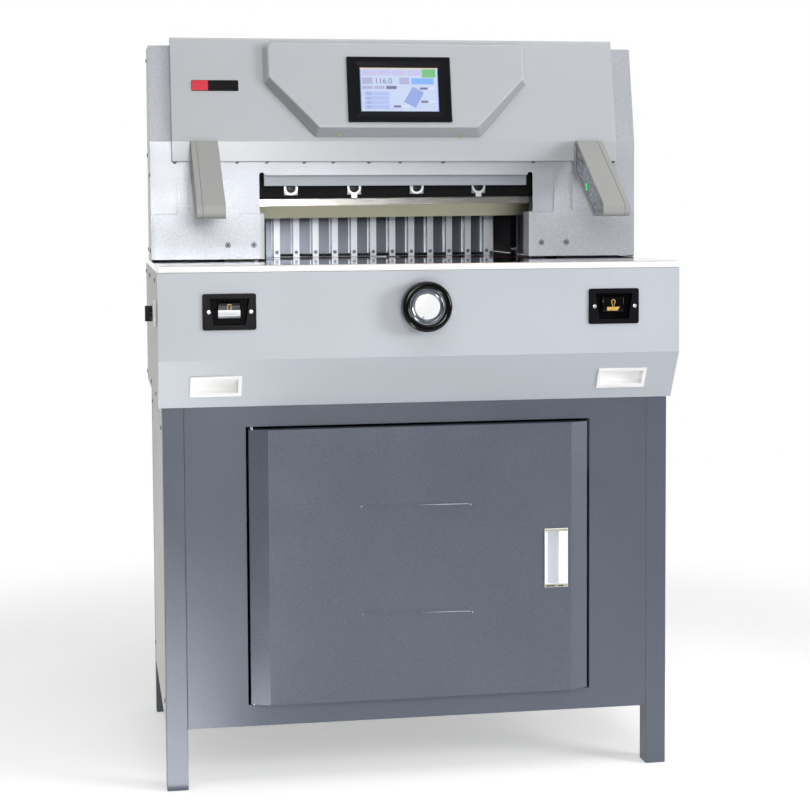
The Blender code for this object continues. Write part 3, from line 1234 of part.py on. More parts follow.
def build_drive():
    """Side frames that guide the knife beam, the press clamp, the crank and its gearmotor."""
    for side, word in SIDES:
        frame = block(f"side_frame_{word}", on_side(side, FRAME_INNER, FRAME_INNER + FRAME_THICKNESS),
                      (BEAM_BACK + GAP, FRAME_END), (BASE_TOP + GAP, FRAME_TOP))
        finish(frame, "cast_iron")
    clamp = block("clamp_beam", (GAP - FRAME_INNER, FRAME_INNER - GAP),
                  (CLAMP_FRONT, CLAMP_BACK), (CLAMP_BOTTOM, CLAMP_BOTTOM + CLAMP_HEIGHT))
    finish(clamp, "cast_iron", new_empty("clamp_axis", (0, CLAMP_FRONT, CLAMP_BOTTOM), MACHINE))

    pivot = new_empty("crank_axis", (CRANK_X, CRANK_FRONT, CRANK_Z), MACHINE)
    back = CRANK_FRONT + CRANK_THICKNESS
    crank = rod("drive_crank", CRANK_RADIUS, (CRANK_X, CRANK_Z), (CRANK_FRONT, back), "Y", FINE_STEPS)
    pin = rod("crank_pin", CRANK_PIN_RADIUS, (CRANK_X + CRANK_THROW_X, CRANK_Z + CRANK_THROW_Z),
              (back - half(CRANK_THICKNESS), back + CRANK_PIN_LENGTH), "Y")
    stub = rod("crank_stub", SHAFT_RADIUS, (CRANK_X, CRANK_Z),
               (CRANK_FRONT - SHAFT_LENGTH, CRANK_FRONT + half(CRANK_THICKNESS)), "Y", FINE_STEPS)
    finish(join(crank, pin, stub), "cast_iron", pivot)

    face = CRANK_FRONT - GAP
    low = BASE_TOP + GAP
    gearbox_y = (face - GEARBOX_DEPTH, face)
    gearbox = block("drive_gearmotor", around(CRANK_X, GEARBOX_WIDTH), gearbox_y,
                    (low, low + GEARBOX_HEIGHT))
    motor = rod("motor_barrel", MOTOR_RADIUS, (CRANK_X, low + MOTOR_FOOT + MOTOR_RADIUS),
                (gearbox_y[0] - MOTOR_LENGTH, middle(gearbox_y)), "Y")
    bore = rod("gearbox_bore", SHAFT_RADIUS + RUNNING_FIT, (CRANK_X, CRANK_Z),
               (face - SHAFT_LENGTH - GAP, face + OVERRUN), "Y", FINE_STEPS)
    finish(cut(join(gearbox, motor), bore), "black_iron")


clear_scene()
PARTS = new_collection(NAME)
CUTTERS = new_collection("cutters")
MATERIALS = {name: add_material(name) for name in COLOURS}

MACHINE = new_empty("machine")
MACHINE.location = (half(SWITCH_OUT), -half(REAR_TABLE_END + WHEEL_FRONT), 0)
HEAD_FACE = new_empty("head_face", (0, COVER_FRONT, HEAD_FOLD), MACHINE)
HEAD_FACE.rotation_euler.x = -HEAD_SLOPE
APRON_LEAN = math.atan(APRON_SLANT / (APRON_FOLD - BASE_Z))
APRON_FACE = new_empty("apron_face", (0, 0, APRON_FOLD), MACHINE)
APRON_FACE.rotation_euler.x = APRON_LEAN
KNIFE_FRAME = new_empty("knife_frame", (0, 0, BLADE_EDGE_Z), MACHINE)
KNIFE_FRAME.rotation_euler.y = -math.radians(KNIFE_TILT_DEGREES)

build_stand()
build_door()
build_casing()
build_rear_table()
build_buttons()
build_grips()
build_handwheel()
build_back_gauge()
build_switch()
build_head()
build_cover()
build_arms()
build_knife()
build_drive()
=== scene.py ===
"""Looks of the electric paper cutter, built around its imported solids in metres, +Z up.

Places are taken from the solids' boxes and surfaces. Those given as numbers run to the right
from MIDDLE and up from the floor, unless their comment says otherwise.
"""
import json
import math

import bmesh
import bpy
from mathutils import Matrix, Vector
from mathutils.bvhtree import BVHTree

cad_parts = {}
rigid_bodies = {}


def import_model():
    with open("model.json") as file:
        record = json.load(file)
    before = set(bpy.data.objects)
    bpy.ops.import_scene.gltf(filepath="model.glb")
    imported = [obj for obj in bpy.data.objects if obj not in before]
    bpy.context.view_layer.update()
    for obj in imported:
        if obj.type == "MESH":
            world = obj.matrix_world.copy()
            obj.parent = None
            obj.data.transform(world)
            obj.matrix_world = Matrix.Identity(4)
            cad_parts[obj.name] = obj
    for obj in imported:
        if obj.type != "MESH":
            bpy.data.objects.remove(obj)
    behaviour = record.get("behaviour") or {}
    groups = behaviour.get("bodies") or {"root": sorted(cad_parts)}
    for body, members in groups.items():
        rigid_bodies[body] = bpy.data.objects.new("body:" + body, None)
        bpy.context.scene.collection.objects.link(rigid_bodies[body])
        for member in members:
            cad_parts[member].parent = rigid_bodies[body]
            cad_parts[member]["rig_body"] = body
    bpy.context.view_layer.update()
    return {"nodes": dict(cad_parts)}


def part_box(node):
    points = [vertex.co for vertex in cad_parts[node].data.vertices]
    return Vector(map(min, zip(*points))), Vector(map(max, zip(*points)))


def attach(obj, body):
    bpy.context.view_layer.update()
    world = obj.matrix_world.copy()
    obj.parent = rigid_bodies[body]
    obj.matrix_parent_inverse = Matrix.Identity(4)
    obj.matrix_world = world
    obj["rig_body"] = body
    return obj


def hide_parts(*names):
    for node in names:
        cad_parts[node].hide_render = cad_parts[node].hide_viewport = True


for thing in list(bpy.data.objects):
    bpy.data.objects.remove(thing)
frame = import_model()

HALF = 0.5
IN_FRONT = -3.0
MIDDLE = (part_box("table_plate")[0].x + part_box("table_plate")[1].x) * HALF
TABLE_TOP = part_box("table_plate")[1].z
FRONT = (0, 1, 0)
BACK = (0, -1, 0)
LEFT = (1, 0, 0)
RIGHT = (-1, 0, 0)
UP = (0, 0, 1)

# Camera: place, lens in mm, shift, and yaw, pitch and roll in degrees
CAMERA_PLACE = (-0.57898, -3.66458, 1.05754)
CAMERA_LENS = 81.45
CAMERA_SHIFT = -0.10494
CAMERA_TURNS = (9.783, -3.724, -0.304)

# Room: light of the surroundings, brightness of their front in reflections, and where that starts and ends
AMBIENT = 0.40
DIM = 0.12
WORLD_DIM = (-1.0, 0.1)
FLOOR_DIM = (-3.6, -1.2)

# Floor: size, place, own glow, where its shadow fades out, and the light it throws back near and far
FLOOR_SIZE = 14
FLOOR_SQUARES = 8
FLOOR_DROP = -0.0005
FLOOR_GLOW = 0.42
SHADOW_REACH = (0.7, 1.9)
BOUNCE_REACH = (0.9, 2.2)
BOUNCE_NEAR = 0.85
BOUNCE_FAR = 0.08

# Lamps: name, place, target, size and watts, and where they differ, kind and upward direction
LAMPS = (
    ("front_light", (-0.3, -3.3, 2.0), (0.0, -0.2, 0.85), (1.0, 0.7), 10),
    ("front_glare", (-0.28, -3.7, 1.38), (0.0, -0.2, 0.9), (0.75, 0.5), 42, "glare"),
    ("right_light", (3.6, -2.6, 1.5), (0.0, -0.2, 0.7), (1.5, 1.5), 102),
    ("low_fill", (0.0, -2.6, 0.3), (0.0, -0.4, 0.4), (1.6, 0.4), 13, "soft"),
    ("floor_glare", (-0.49, -1.1, 0.004), (-0.49, -1.1, 1.0), (0.32, 1.36), 11, "glare", FRONT),
    ("top_light", (0.0, -1.2, 3.2), (0.0, -0.1, 0.8), (2.2, 1.6), 22),
)

# Patterns of a finish: detail, the noise values that are used, scales beside the patches or grains, and depth
NOISE_ROUGHNESS = 0.55
PATCH_DETAIL = 1.5
GRAIN_DETAIL = 1.0
BUMP_DETAIL = 2.0
PATCH_RANGE = (0.28, 0.72)
SPECK_RANGE = (0.42, 0.68)
PIT_RANGE = (0.45, 0.7)
PIT_SCALE = 1.3
PIT_SHADE = -0.5
GLOSS_SCALE = 3
BUMP_DEPTH = 0.0005
WHITE = (1, 1, 1, 1)
BLACK = (0, 0, 0, 1)

# Facets: limits for joining, keeping and rounding edges, and steps of round shapes
MERGE = 0.00001
FLAT = math.radians(0.5)
SHARP = math.radians(30)
FOLD = math.radians(5)
FOLD_SPAN = 0.0065
EDGE_ROOM = 2.2
ROUND_STEPS = 32
FINE_STEPS = 96
CORNER_STEPS = 5
SOFT_STEPS = 2
SMOOTH_STEPS = 3
BOX_STEPS = 4
SUNK = 0.0002

# Widths of soft edges
HAIR_EDGE = 0.0002
FINE_EDGE = 0.0004
INLET_EDGE = 0.0005
SHEET_EDGE = 0.0006
HEAD_EDGE = 0.0007
PANEL_EDGE = 0.0008
FOLD_EDGE = 0.0009
BLOCK_EDGE = 0.001
MOULD_EDGE = 0.0012
TUBE_EDGE = 0.0015
BOX_EDGE = 0.003
ARM_EDGE = 0.004

# How far a face's normal points in a direction before the face is painted
LEANING = 0.2
DOWNWARD = 0.3
MOSTLY = 0.7
SQUARE = 0.9

# Screws: a domed head's height as a share of its radius, its profile in shares of both, the parts of a socket screw
# (ending of the name, finish, heights of foot and top, their shares of the radius), radii, and a cross recess
DOME_HEIGHT = 0.4
DOME = ((1, 0.45), (0.86, 0.85), (0.55, 1), (0.46, 1), (0.42, 0.15), (0, 0.1))
# A socket screw's socket is a small dark disc on its head: painted shade
SOCKET_SCREW = (("_ring", "screw", -SUNK, 0.0003, 1, 1), ("", "pale", 0, 0.0009, 0.86, 0.8),
                ("_socket_shade", "socket", 0.0008, 0.0011, 0.36, 0.32))
BRACKET_SCREW = 0.0055
BEZEL_SCREW = 0.0035
BOX_SCREW = 0.0032
LIP_SCREW = 0.0035
COVER_SCREW = 0.0042
CROSS_ARM = math.radians(28)
CROSS_WAIST = 0.4

# Weld beads beside the stand's front panel
BEAD_STEPS = 24
BEAD_WAVE = 0.0002
BEAD_TURN = 7
BEAD_RADIUS = 0.0007

# Door: left and right ends of its ribs, painted highlight lines along them, and the flush pull's floor, ends and slots,
# where floor and slots get painted shade
RIBS = (("upper", (-0.111, 0.5076), (0.0886, 0.5062)), ("lower", (-0.1086, 0.3114), (0.0917, 0.3076)))
RIB_HOOK = (0.0022, 0.0018)
RIB_GAP = 0.003
RIB_LINE = 0.0006
TIP_START = 0.0002
TIP_REACH = (0.0022, 0.003)
TIP_LINE = 0.0008
PULL_DEPTH = 0.003
PULL_MIDDLE = 0.250
PULL_ENDS = (("top", 0.4520, (0.0425, 0.0036, 0.001)), ("low", 0.3492, (0.0425, 0.0052, 0.001)))
PULL_END_RISE = 0.0004
PULL_SLOTS = (("left", 0.2395, (0.015, 0.002, 0.0009)), ("right", 0.2585, (0.010, 0.002, 0.0009)))
PULL_SLOT_UP = 0.3485
PULL_SLOT_RISE = 0.0002

# Table: the thin line behind its edge strip
TABLE_LINE_INSET = 0.002
TABLE_LINE = 0.0008

# Brackets, up from the table: the strip at the inner edge (width, height, corner) and lines in shares of the width
STRIP_INSET = 0.0034
STRIP_UP = 0.0475
STRIP_SIZE = (0.0065, 0.086, 0.0004)
STRIP_RISE = 0.0004
BRACKET_LINE_UP = 0.0895
BRACKET_LINES = (("inner", 0, 0.243), ("outer", 0.784, 1))
BRACKET_LINE_MARGIN = 0.005
BRACKET_LINE = 0.0004

# Barrier arms: joint, window and status light
ARM_SEAM_INSET = 0.0105
ARM_SEAM_WIDTH = 0.001
WINDOW_DEPTH = 0.002
STATUS_Y = -0.2689
STATUS_HEIGHTS = (1.0755, 1.082, 1.0885)
STATUS_RADIUS = 0.0016

# Knife bolts: reach and depth of the painted socket and plate, and the socket's screw
BOLTS = 4
SOCKET_REACH = 0.0082
SOCKET_DEPTHS = (0.0002, 0.003)
PLATE_DEPTH = 0.0012
CORNER_REACH = 0.0125
SOCKET_RADIUS = 0.0066
SOCKET_HEIGHT = 0.08

# Back gauge: fingers, and the screws, lines, end and painted shadows in the gaps between them, up from the table
FINGERS = 12
FINGER_WIDTH = 0.0125
FINGER_DEPTH = 0.026
SHOULDER_PLAY = 0.001
GAUGE_SCREW = 0.0038
GAUGE_SCREW_UP = 0.010
GAUGE_LINE_ASIDE = 0.0012
GAUGE_LINE_WIDTH = 0.0016
GAUGE_LINE_FOOT = 0.006
GAUGE_LINE_MARGIN = 0.008
GAUGE_LINE_ROUND = 0.0004
GAUGE_LINE_RISE = 0.0003
GAUGE_END_FOOT = 0.007
GAUGE_END_MARGIN = 0.009
GAUGE_END_PLAY = 0.0008
GAUGE_SHADOW_UP = 0.0036
GAUGE_SHADOW_HEIGHT = 0.0050
GAUGE_SHADOW_ROUND = 0.0002
GAUGE_SHADOW_RISE = 0.0005

# Start buttons: the well, the painted highlight band below the left one's middle, and the signs
WELL_DEPTH = 0.004
HIGHLIGHT_BAND_LOW = 0.008
HIGHLIGHT_BAND_HIGH = 0.001
SIGN_LINE = 0.0008
ARCH_TOP = 0.0104
ARCH_HALF = 0.0029
ARCH_HEIGHT = 0.009
LOOP_UP = 0.006
LOOP_RADIUS = 0.0031
LOOP_TURNS = range(-20, 201, 20)
LOOP_FOOT = (0.0008, 0.0085)
BAR_OUTLINE = ((-0.0118, -0.0034), (0.0084, -0.0034), (0.0118, 0.0034), (-0.0118, 0.0034))
BAR_DOWN = 0.0075
BAR_RISE = 0.0005

# Handwheel: middle and half sizes of the crowned rim, radius and height along each ring, and the index screw
RIM_MIDDLE = (0.0381, 0.024)
RIM_HALVES = (0.0069, 0.006)
RIM_STEPS = 24
RING_START = [(0, 0), (0.030, 0), (0.030, 0.006), (0.0438, 0.006), (0.045, 0.0072)]
RING_END = [(0.0312, 0.0216), (0, 0.0216)]
BEAD_SHAPE = [(0.0309, 0.0235), (0.0312, 0.0256), (0.0322, 0.0268), (0.0333, 0.0276), (0.0335, 0.0255)]
INNER_SHAPE = [(0.031, 0.0216), (0.0309, 0.0246), (0.0285, 0.0256), (0.0262, 0.025), (0.0242, 0.0236),
               (0.0238, 0.0216)]
DISC_SHAPE = [(0, 0.0216), (0.0236, 0.0216), (0.0229, 0.0246), (0.0222, 0.0254), (0.020, 0.0257), (0, 0.0257)]
INDEX_PLACE = (-0.008, -0.0185, 0.0256)
INDEX_RADIUS = 0.0018

# Main switch: the blue dot's place from the base's corner, and its shape
DOT_INSET = (0.004, 0.005)
DOT_SHAPE = [(0.002, -SUNK), (0.002, 0.0004), (0.0015, 0.0006), (0, 0.0006)]

# Rows of screws
BRACKET_SCREWS_UP = 0.975
BRACKET_SCREWS = (("left_1", -0.328), ("left_2", -0.279), ("right_1", 0.284), ("right_2", 0.334))
BEZEL_SCREWS_UP = 0.865
BEZEL_SCREWS = (("left_1", -0.384), ("left_2", -0.310), ("right_1", 0.312), ("right_2", 0.387))
BOX_SCREWS_UP = 1.1815
BOX_SCREWS = (("left", -0.117), ("right", 0.122))
LIP_SCREWS_UP = 1.1325
LIP_SCREWS = (-0.426, -0.309, -0.252, -0.181, -0.125, -0.056, 0.005, 0.089, 0.268, 0.429)

# Screen: size of its picture, thickness of a layer, and the tilted sheet's corners in shares of the size
SCREEN_WIDE = 0.1524
SCREEN_TALL = 0.0864
LAYER = 0.00012
TILE_ROUND = LAYER * 4
SHEET_CORNERS = ((0.67, 0.57), (0.55, 0.22), (0.70, 0.08), (0.81, 0.43))

# Power inlet: place of each pin from the middle, and a pin's width, height and corner, and length
INLET_PINS = (("left", -0.007, -0.002), ("earth", 0, 0.002), ("right", 0.007, -0.002))
PIN_SIZE = (0.002, 0.004, 0.0005)
PIN_LENGTH = 0.009

# Badge: place, size with corner, rise and soft edge of the plate and of the field on it
BADGE_PLACE = (-0.3485, 1.277)
BADGE_PLATE = (0.089, 0.0208, 0.002)
BADGE_RISE = 0.0016
BADGE_EDGE = 0.0005
FIELD_LEFT = -0.0285
FIELD_SIZE = (0.031, 0.0195, 0.0015)
FIELD_RISE = 0.0002
FIELD_EDGE = 0.0001


def tone(red, green, blue):
    """A colour given as it shows on screen, from 0 to 255, as the shader's linear values by the sRGB curve."""
    return tuple((((c / 255 + 0.055) / 1.055) ** 2.4 if c > 10 else c / 3295) for c in (red, green, blue)) + (1,)


def shaded(colour, share):
    """A colour made lighter or darker by a share."""
    return tuple(max(0.0, min(1.0, c * (1 + share))) for c in colour[:3]) + (1,)


def connect(socket, value):
    """Sets an input to a value, or links it to an output."""
    if isinstance(value, bpy.types.NodeSocket):
        socket.id_data.links.new(value, socket)
    else:
        socket.default_value = value


def set_inputs(node, **values):
    """Sets or links some of a node's inputs."""
    for name, value in values.items():
        connect(node.inputs[name.replace("_", " ")], value)


def add_node(tree, kind, **values):
    """A shader node with some of its inputs set or linked."""
    node = tree.nodes.new("ShaderNode" + kind)
    set_inputs(node, **values)
    return node


def noise(place, scale, detail):
    """A noise pattern's value output."""
    pattern = add_node(place.id_data, "TexNoise", Vector=place, Scale=scale, Detail=detail, Roughness=NOISE_ROUGHNESS)
    return pattern.outputs["Fac"]


def spread(value, low, high, limits):
    """A value that runs between two limits, stretched to run from low to high."""
    start, end = limits
    remap = add_node(value.id_data, "MapRange", Value=value, From_Min=start, From_Max=end, To_Min=low, To_Max=high)
    return remap.outputs["Result"]


def mixed(share, one, other):
    """Two colours, each an output or plain values, mixed by a share."""
    mix = add_node(share.id_data, "Mix", Factor=share)
    mix.data_type = "RGBA"
    for letter, colour in (("A", one), ("B", other)):
        connect(next(s for s in mix.inputs if s.name == letter and s.type == "RGBA"), colour)
    return next(s for s in mix.outputs if s.type == "RGBA")


def finish(name, seen, rough, metal=0.0, shade=0.03, patches=5.0, grain=0.0, grains=700.0, gloss_play=0.05,
           bump=0.05, bumps=450.0, stretch=(1, 1, 1), glow=0.0, specular=0.5, painted_fades=()):
    """A procedural finish: patches of two shades, fine grains, uneven gloss and a fine bump.

    The colour is given as it is seen. Each fade paints shade, darkening it along one axis of the object:
    axis, start, end and share.
    """
    colour = tone(*seen)
    material = bpy.data.materials.new(name)
    material.use_nodes = True
    tree = material.node_tree
    where = add_node(tree, "TexCoord").outputs["Object"]
    place = add_node(tree, "Mapping", Vector=where, Scale=stretch).outputs["Vector"]
    share = spread(noise(place, patches, PATCH_DETAIL), 0, 1, PATCH_RANGE)
    paint = mixed(share, shaded(colour, -shade), shaded(colour, shade))
    if grain:
        speck = spread(noise(place, grains, GRAIN_DETAIL), 0, grain, SPECK_RANGE)
        paint = mixed(speck, paint, WHITE)
        pit = spread(noise(place, grains * PIT_SCALE, GRAIN_DETAIL), 0, grain, PIT_RANGE)
        paint = mixed(pit, paint, shaded(colour, PIT_SHADE))
    for axis, start, end, most in painted_fades:
        along = add_node(tree, "SeparateXYZ", Vector=where).outputs[axis]
        paint = mixed(spread(along, 0, most, (start, end)), paint, BLACK)
    uneven = noise(place, patches * GLOSS_SCALE, PATCH_DETAIL)
    gloss = spread(uneven, rough - gloss_play, rough + gloss_play, PATCH_RANGE)
    height = noise(place, bumps, BUMP_DETAIL)
    relief = add_node(tree, "Bump", Strength=bump, Distance=BUMP_DEPTH, Height=height)
    shader = tree.nodes["Principled BSDF"]
    set_inputs(shader, Metallic=metal, Specular_IOR_Level=specular, Base_Color=paint, Roughness=gloss,
               Normal=relief.outputs["Normal"])
    if glow:
        set_inputs(shader, Emission_Color=paint, Emission_Strength=glow)
    return material


FINISHES = {
    "apron": finish("apron_paint", (190, 195, 203), 0.45, bump=0.1, grain=0.04),
    "cover": finish("cover_paint", (185, 188, 192), 0.29, shade=0.015, bump=0.1, grain=0.03, gloss_play=0.012),
    # A darker copy of the cover paint for the control box's downward faces: painted shade
    "under": finish("shaded_paint", (160, 163, 167), 0.4, shade=0.015, bump=0.1, grain=0.03),
    "guard": finish("guard_paint", (164, 171, 179), 0.35, shade=0.015, bump=0.1, grain=0.03),
    "plate": finish("hammered_silver_paint", (177, 180, 187), 0.36, metal=0.2, shade=0.02, grain=0.16, grains=420,
                    bump=0.25, bumps=300, gloss_play=0.03),
    "side": finish("side_paint", (244, 243, 237), 0.45, bump=0.1, grain=0.03),
    "stand": finish("stand_paint", (83, 90, 103), 0.32, metal=0.05, shade=0.04, grain=0.04, bump=0.16, bumps=380,
                    gloss_play=0.03),
    "white": finish("white_plastic", (250, 250, 249), 0.38, shade=0.012, bump=0.06),
    "tan": finish("tan_line", (176, 150, 128), 0.5, shade=0.06, patches=40),
    "clear": finish("milky_plastic", (176, 175, 156), 0.2, shade=0.2, patches=90, bump=0.1),
    "black": finish("black_plastic", (16, 17, 21), 0.34, shade=0.1, bump=0.08, gloss_play=0.03, specular=0.1),
    # A lighter black for the display bezel's slopes that face right: painted light
    "slope": finish("black_slope_painted_light", (60, 59, 56), 0.34, shade=0.06, gloss_play=0.03, specular=0.2),
    # Near-black for the inside of the start buttons' wells and under the gauge's webs: painted shade
    "pit": finish("black_painted_shade", (6, 6, 7), 0.4, shade=0.1, bump=0.08, specular=0.05),
    # Left start button: a silvery lower part that is a painted reflection, fading to the button's black towards the top
    "button_painted_reflection": finish("button_painted_reflection", (128, 130, 135), 0.2, metal=0.6, shade=0.04, bump=0.03, specular=0.03,
                          painted_fades=((2, 0.8635, 0.8715, 0.96),)),
    "brass": finish("brass_screw", (176, 158, 118), 0.34, metal=0.8, shade=0.1, patches=150),
    "gloss_black": finish("gloss_black_plastic", (9, 9, 10), 0.14, shade=0.2, bump=0.02, gloss_play=0.03,
                          specular=0.2),
    "arm": finish("arm_plastic", (158, 158, 156), 0.42, shade=0.015, bump=0.15, bumps=700, grain=0.03),
    "mirror": finish("mirror_steel", (214, 216, 219), 0.07, metal=1, patches=9, gloss_play=0.03,
                     bump=0.015, bumps=120, stretch=(1, 6, 1)),
    "steel": finish("bright_steel", (222, 223, 224), 0.2, metal=1, bump=0.03),
    "disc": finish("spun_steel", (252, 253, 254), 0.2, metal=0.12, patches=40, bump=0.03),
    "smoke": finish("smoke_chrome", (118, 122, 132), 0.16, metal=0.9, shade=0.25, patches=60, bump=0.03),
    "zinc": finish("zinc_plate", (218, 220, 223), 0.34, metal=0.7, shade=0.04, patches=40, gloss_play=0.03),
    "blade": finish("blade_steel", (174, 172, 167), 0.24, metal=1, patches=6, bump=0.03, bumps=500,
                    gloss_play=0.015, stretch=(1, 20, 20)),
    # The knife's ground bevel in its own khaki, darkened towards its right end by a painted shadow
    "bevel": finish("ground_bevel_painted_shade", (190, 186, 162), 0.32, metal=0.8, shade=0.015, bumps=800, gloss_play=0.01,
                    stretch=(12, 1, 1), painted_fades=((0, 0.2, 0.29, 0.75),)),
    "gauge": finish("gauge_aluminium", (216, 220, 226), 0.36, metal=0.3, patches=16, bump=0.08),
    # The gauge's webs: a dark copy of the gauge's aluminium, darker still to the right and towards the top: painted
    # shade standing in for the dark interior they reflect
    "web": finish("gauge_web_painted_shade", (106, 111, 122), 0.34, metal=0.5, shade=0.02, patches=8, bump=0.06, gloss_play=0.02,
                  painted_fades=((0, -0.23, 0.05, 0.62), (2, 0.96, 1.03, 0.3))),
    "finger_side": finish("finger_side", (172, 177, 190), 0.2, metal=0.9, shade=0.02, patches=8, bump=0.04,
                          gloss_play=0.02),
    "iron": finish("black_iron", (9, 9, 10), 0.5, shade=0.25, patches=20, bump=0.2, specular=0.1),
    "cast": finish("cast_iron", (120, 122, 125), 0.5, metal=0.5, shade=0.1, patches=30, bump=0.4, grain=0.1),
    # Near-black for the slabs standing in for the pull's two slots: painted shade
    "dark": finish("dark_joint", (30, 31, 34), 0.6, shade=0.2, patches=60, specular=0.2),
    "arm_joint": finish("arm_joint", (138, 138, 135), 0.6, shade=0.1, patches=60, specular=0.2),
    "dull": finish("dull_zinc", (146, 148, 156), 0.4, metal=0.5, shade=0.06, patches=90),
    "pale": finish("pale_screw", (132, 133, 140), 0.5, metal=0.2, shade=0.08, patches=120, bump=0.08),
    "screw": finish("dark_screw", (96, 97, 104), 0.35, metal=0.8, shade=0.15, patches=120, bump=0.1),
    "socket": finish("black_socket", (34, 33, 38), 0.3, metal=0.6, shade=0.3, patches=200, bump=0.1),
    "red": finish("red_plastic", (150, 30, 26), 0.4, shade=0.08, patches=30),
    "badge_red": finish("badge_red", (214, 36, 56), 0.34, shade=0.015, bump=0.04, gloss_play=0.02),
    "badge_black": finish("badge_black", (22, 20, 22), 0.34, bump=0.04, gloss_play=0.02, specular=0.1),
    "gold": finish("gold_ink", (222, 184, 92), 0.4, metal=0.3, shade=0.06, patches=120, bump=0.03),
    # Pale lines along the door's ribs and the handwheel's bead: painted highlight
    "highlight_paint": finish("highlight_paint_edge", (204, 208, 214), 0.35, metal=0.3, shade=0.08, patches=80),
    # Blue-grey for the recessed floor of the white pull: painted shade
    "pull_floor_painted_shade": finish("pull_floor_painted_shade", (212, 216, 226), 0.4, shade=0.015),
    "blue": finish("blue_dot", (40, 90, 190), 0.4, shade=0.06, patches=120, bump=0.03),
    "lamp": finish("green_lamp", (60, 230, 130), 0.2, shade=0.1, patches=200, bump=0.02, glow=0.8),
    "film": finish("silver_film", (128, 131, 138), 0.3, metal=0.7, shade=0.85, patches=150, bump=1.0, bumps=200,
                   gloss_play=0.18),
}

SCREEN_TONES = {
    "sky": (176, 188, 212), "tan": (196, 178, 158), "rim": (112, 138, 190), "lilac": (172, 170, 204),
    "green": (104, 168, 112), "field": (154, 156, 190), "figure": (112, 108, 146), "button": (118, 158, 214),
    "navy": (104, 104, 142), "panel": (168, 182, 214), "row": (156, 168, 208), "sheet": (132, 148, 200),
    "paper": (190, 196, 220),
}
for word, values in SCREEN_TONES.items():
    name = "lit_" + word
    FINISHES[name] = finish(name, values, 0.34, shade=0.02, bump=0.01, glow=0.3, gloss_play=0.02)


def add_object(name, data):
    """A new object in the scene."""
    made = bpy.data.objects.new(name, data)
    bpy.context.scene.collection.objects.link(made)
    return made


def put(name, mesh, look, body="frame"):
    """A new piece with its finish, riding on a body."""
    made = add_object(name, mesh)
    made.data.materials.append(FINISHES[look])
    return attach(made, body)


def mesh_from(name, shape):
    """The mesh of a bmesh, which is freed."""
    mesh = bpy.data.meshes.new(name)
    shape.to_mesh(mesh)
    shape.free()
    return mesh


def from_shape(name, shape, look, body):
    """A piece from a bmesh, with smooth faces and sharp edges kept."""
    bmesh.ops.recalc_face_normals(shape, faces=shape.faces)
    mesh = mesh_from(name, shape)
    mesh.shade_smooth()
    mesh.set_sharp_from_angle(angle=SHARP)
    return put(name, mesh, look, body)


def mesh_of(curve):
    """The mesh of a curve or a text."""
    drawn = add_object(curve.name, curve)
    bpy.context.view_layer.update()
    mesh = bpy.data.meshes.new_from_object(drawn.evaluated_get(bpy.context.evaluated_depsgraph_get()))
    bpy.data.objects.remove(drawn)
    mesh.materials.clear()
    return mesh


def clean_shape(node):
    """A node's mesh, welded and with its flat faces joined."""
    shape = bmesh.new()
    shape.from_mesh(frame["nodes"][node].data)
    bmesh.ops.remove_doubles(shape, verts=shape.verts, dist=MERGE)
    bmesh.ops.dissolve_limit(shape, angle_limit=FLAT, verts=shape.verts, edges=shape.edges)
    return shape


def mark_edges(shape, width):
    """Weights the edges that get rounded off, and keeps the other sharp ones crisp."""
    weight = shape.edges.layers.float.new("bevel_weight_edge")
    for face in shape.faces:
        face.smooth = True
    for edge in shape.edges:
        bend = edge.calc_face_angle(0)
        span = min(face.calc_area() for face in edge.link_faces) / edge.calc_length()
        if bend > SHARP and span > EDGE_ROOM * width or bend > FOLD and span > FOLD_SPAN:
            edge[weight] = 1
        elif bend > SHARP:
            edge.smooth = False


def dress(node, look, width, segments=SOFT_STEPS):
    """A copy of a node with softened edges, which is shown in its place."""
    shape = clean_shape(node)
    mark_edges(shape, width)
    skin = put(node + "_skin", mesh_from(node + "_skin", shape), look, frame["nodes"][node]["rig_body"])
    edge = skin.modifiers.new("soft_edges", "BEVEL")
    edge.width = width
    edge.segments = segments
    edge.limit_method = "WEIGHT"
    flat = skin.modifiers.new("flat_faces", "WEIGHTED_NORMAL")
    flat.weight = 100
    flat.keep_sharp = True
    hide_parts(node)
    return skin


def paint_faces(skin, look, chosen):
    """Gives the chosen faces of a piece another finish; chosen takes a face's middle and normal."""
    skin.data.materials.append(FINISHES[look])
    for face in skin.data.polygons:
        if chosen(face.center, face.normal):
            face.material_index = len(skin.data.materials) - 1


def repaint(node, look):
    """A node that keeps its own shape and gets a better finish."""
    mesh = frame["nodes"][node].data
    mesh.materials.clear()
    mesh.materials.append(FINISHES[look])


def rounded(width, height, radius):
    """The outline of a rectangle with round corners, about its own middle."""
    points = []
    for corner, (across, up) in enumerate(((1, 1), (-1, 1), (-1, -1), (1, -1))):
        for step in range(CORNER_STEPS + 1):
            angle = math.radians(90) * (corner + step / CORNER_STEPS)
            points.append((across * (width * HALF - radius) + radius * math.cos(angle),
                           up * (height * HALF - radius) + radius * math.sin(angle)))
    return points


def facing(place, normal, up=UP):
    """A frame at a place, whose z axis is the normal and whose y axis leans to up."""
    out = Vector(normal).normalized()
    side = Vector(up).cross(out).normalized()
    turned = Matrix((side, out.cross(side), out)).transposed().to_4x4()
    return Matrix.Translation(place) @ turned


TREES = {}


def touch(node, start, direction):
    """Where a line from a point first meets a node, and the face's normal there."""
    if node not in TREES:
        mesh = frame["nodes"][node].data
        TREES[node] = BVHTree.FromPolygons([v.co for v in mesh.vertices], [p.vertices for p in mesh.polygons])
    way = Vector(direction)
    place, normal, _, _ = TREES[node].ray_cast(Vector(start), way)
    return place, normal if normal.dot(way) < 0 else -normal


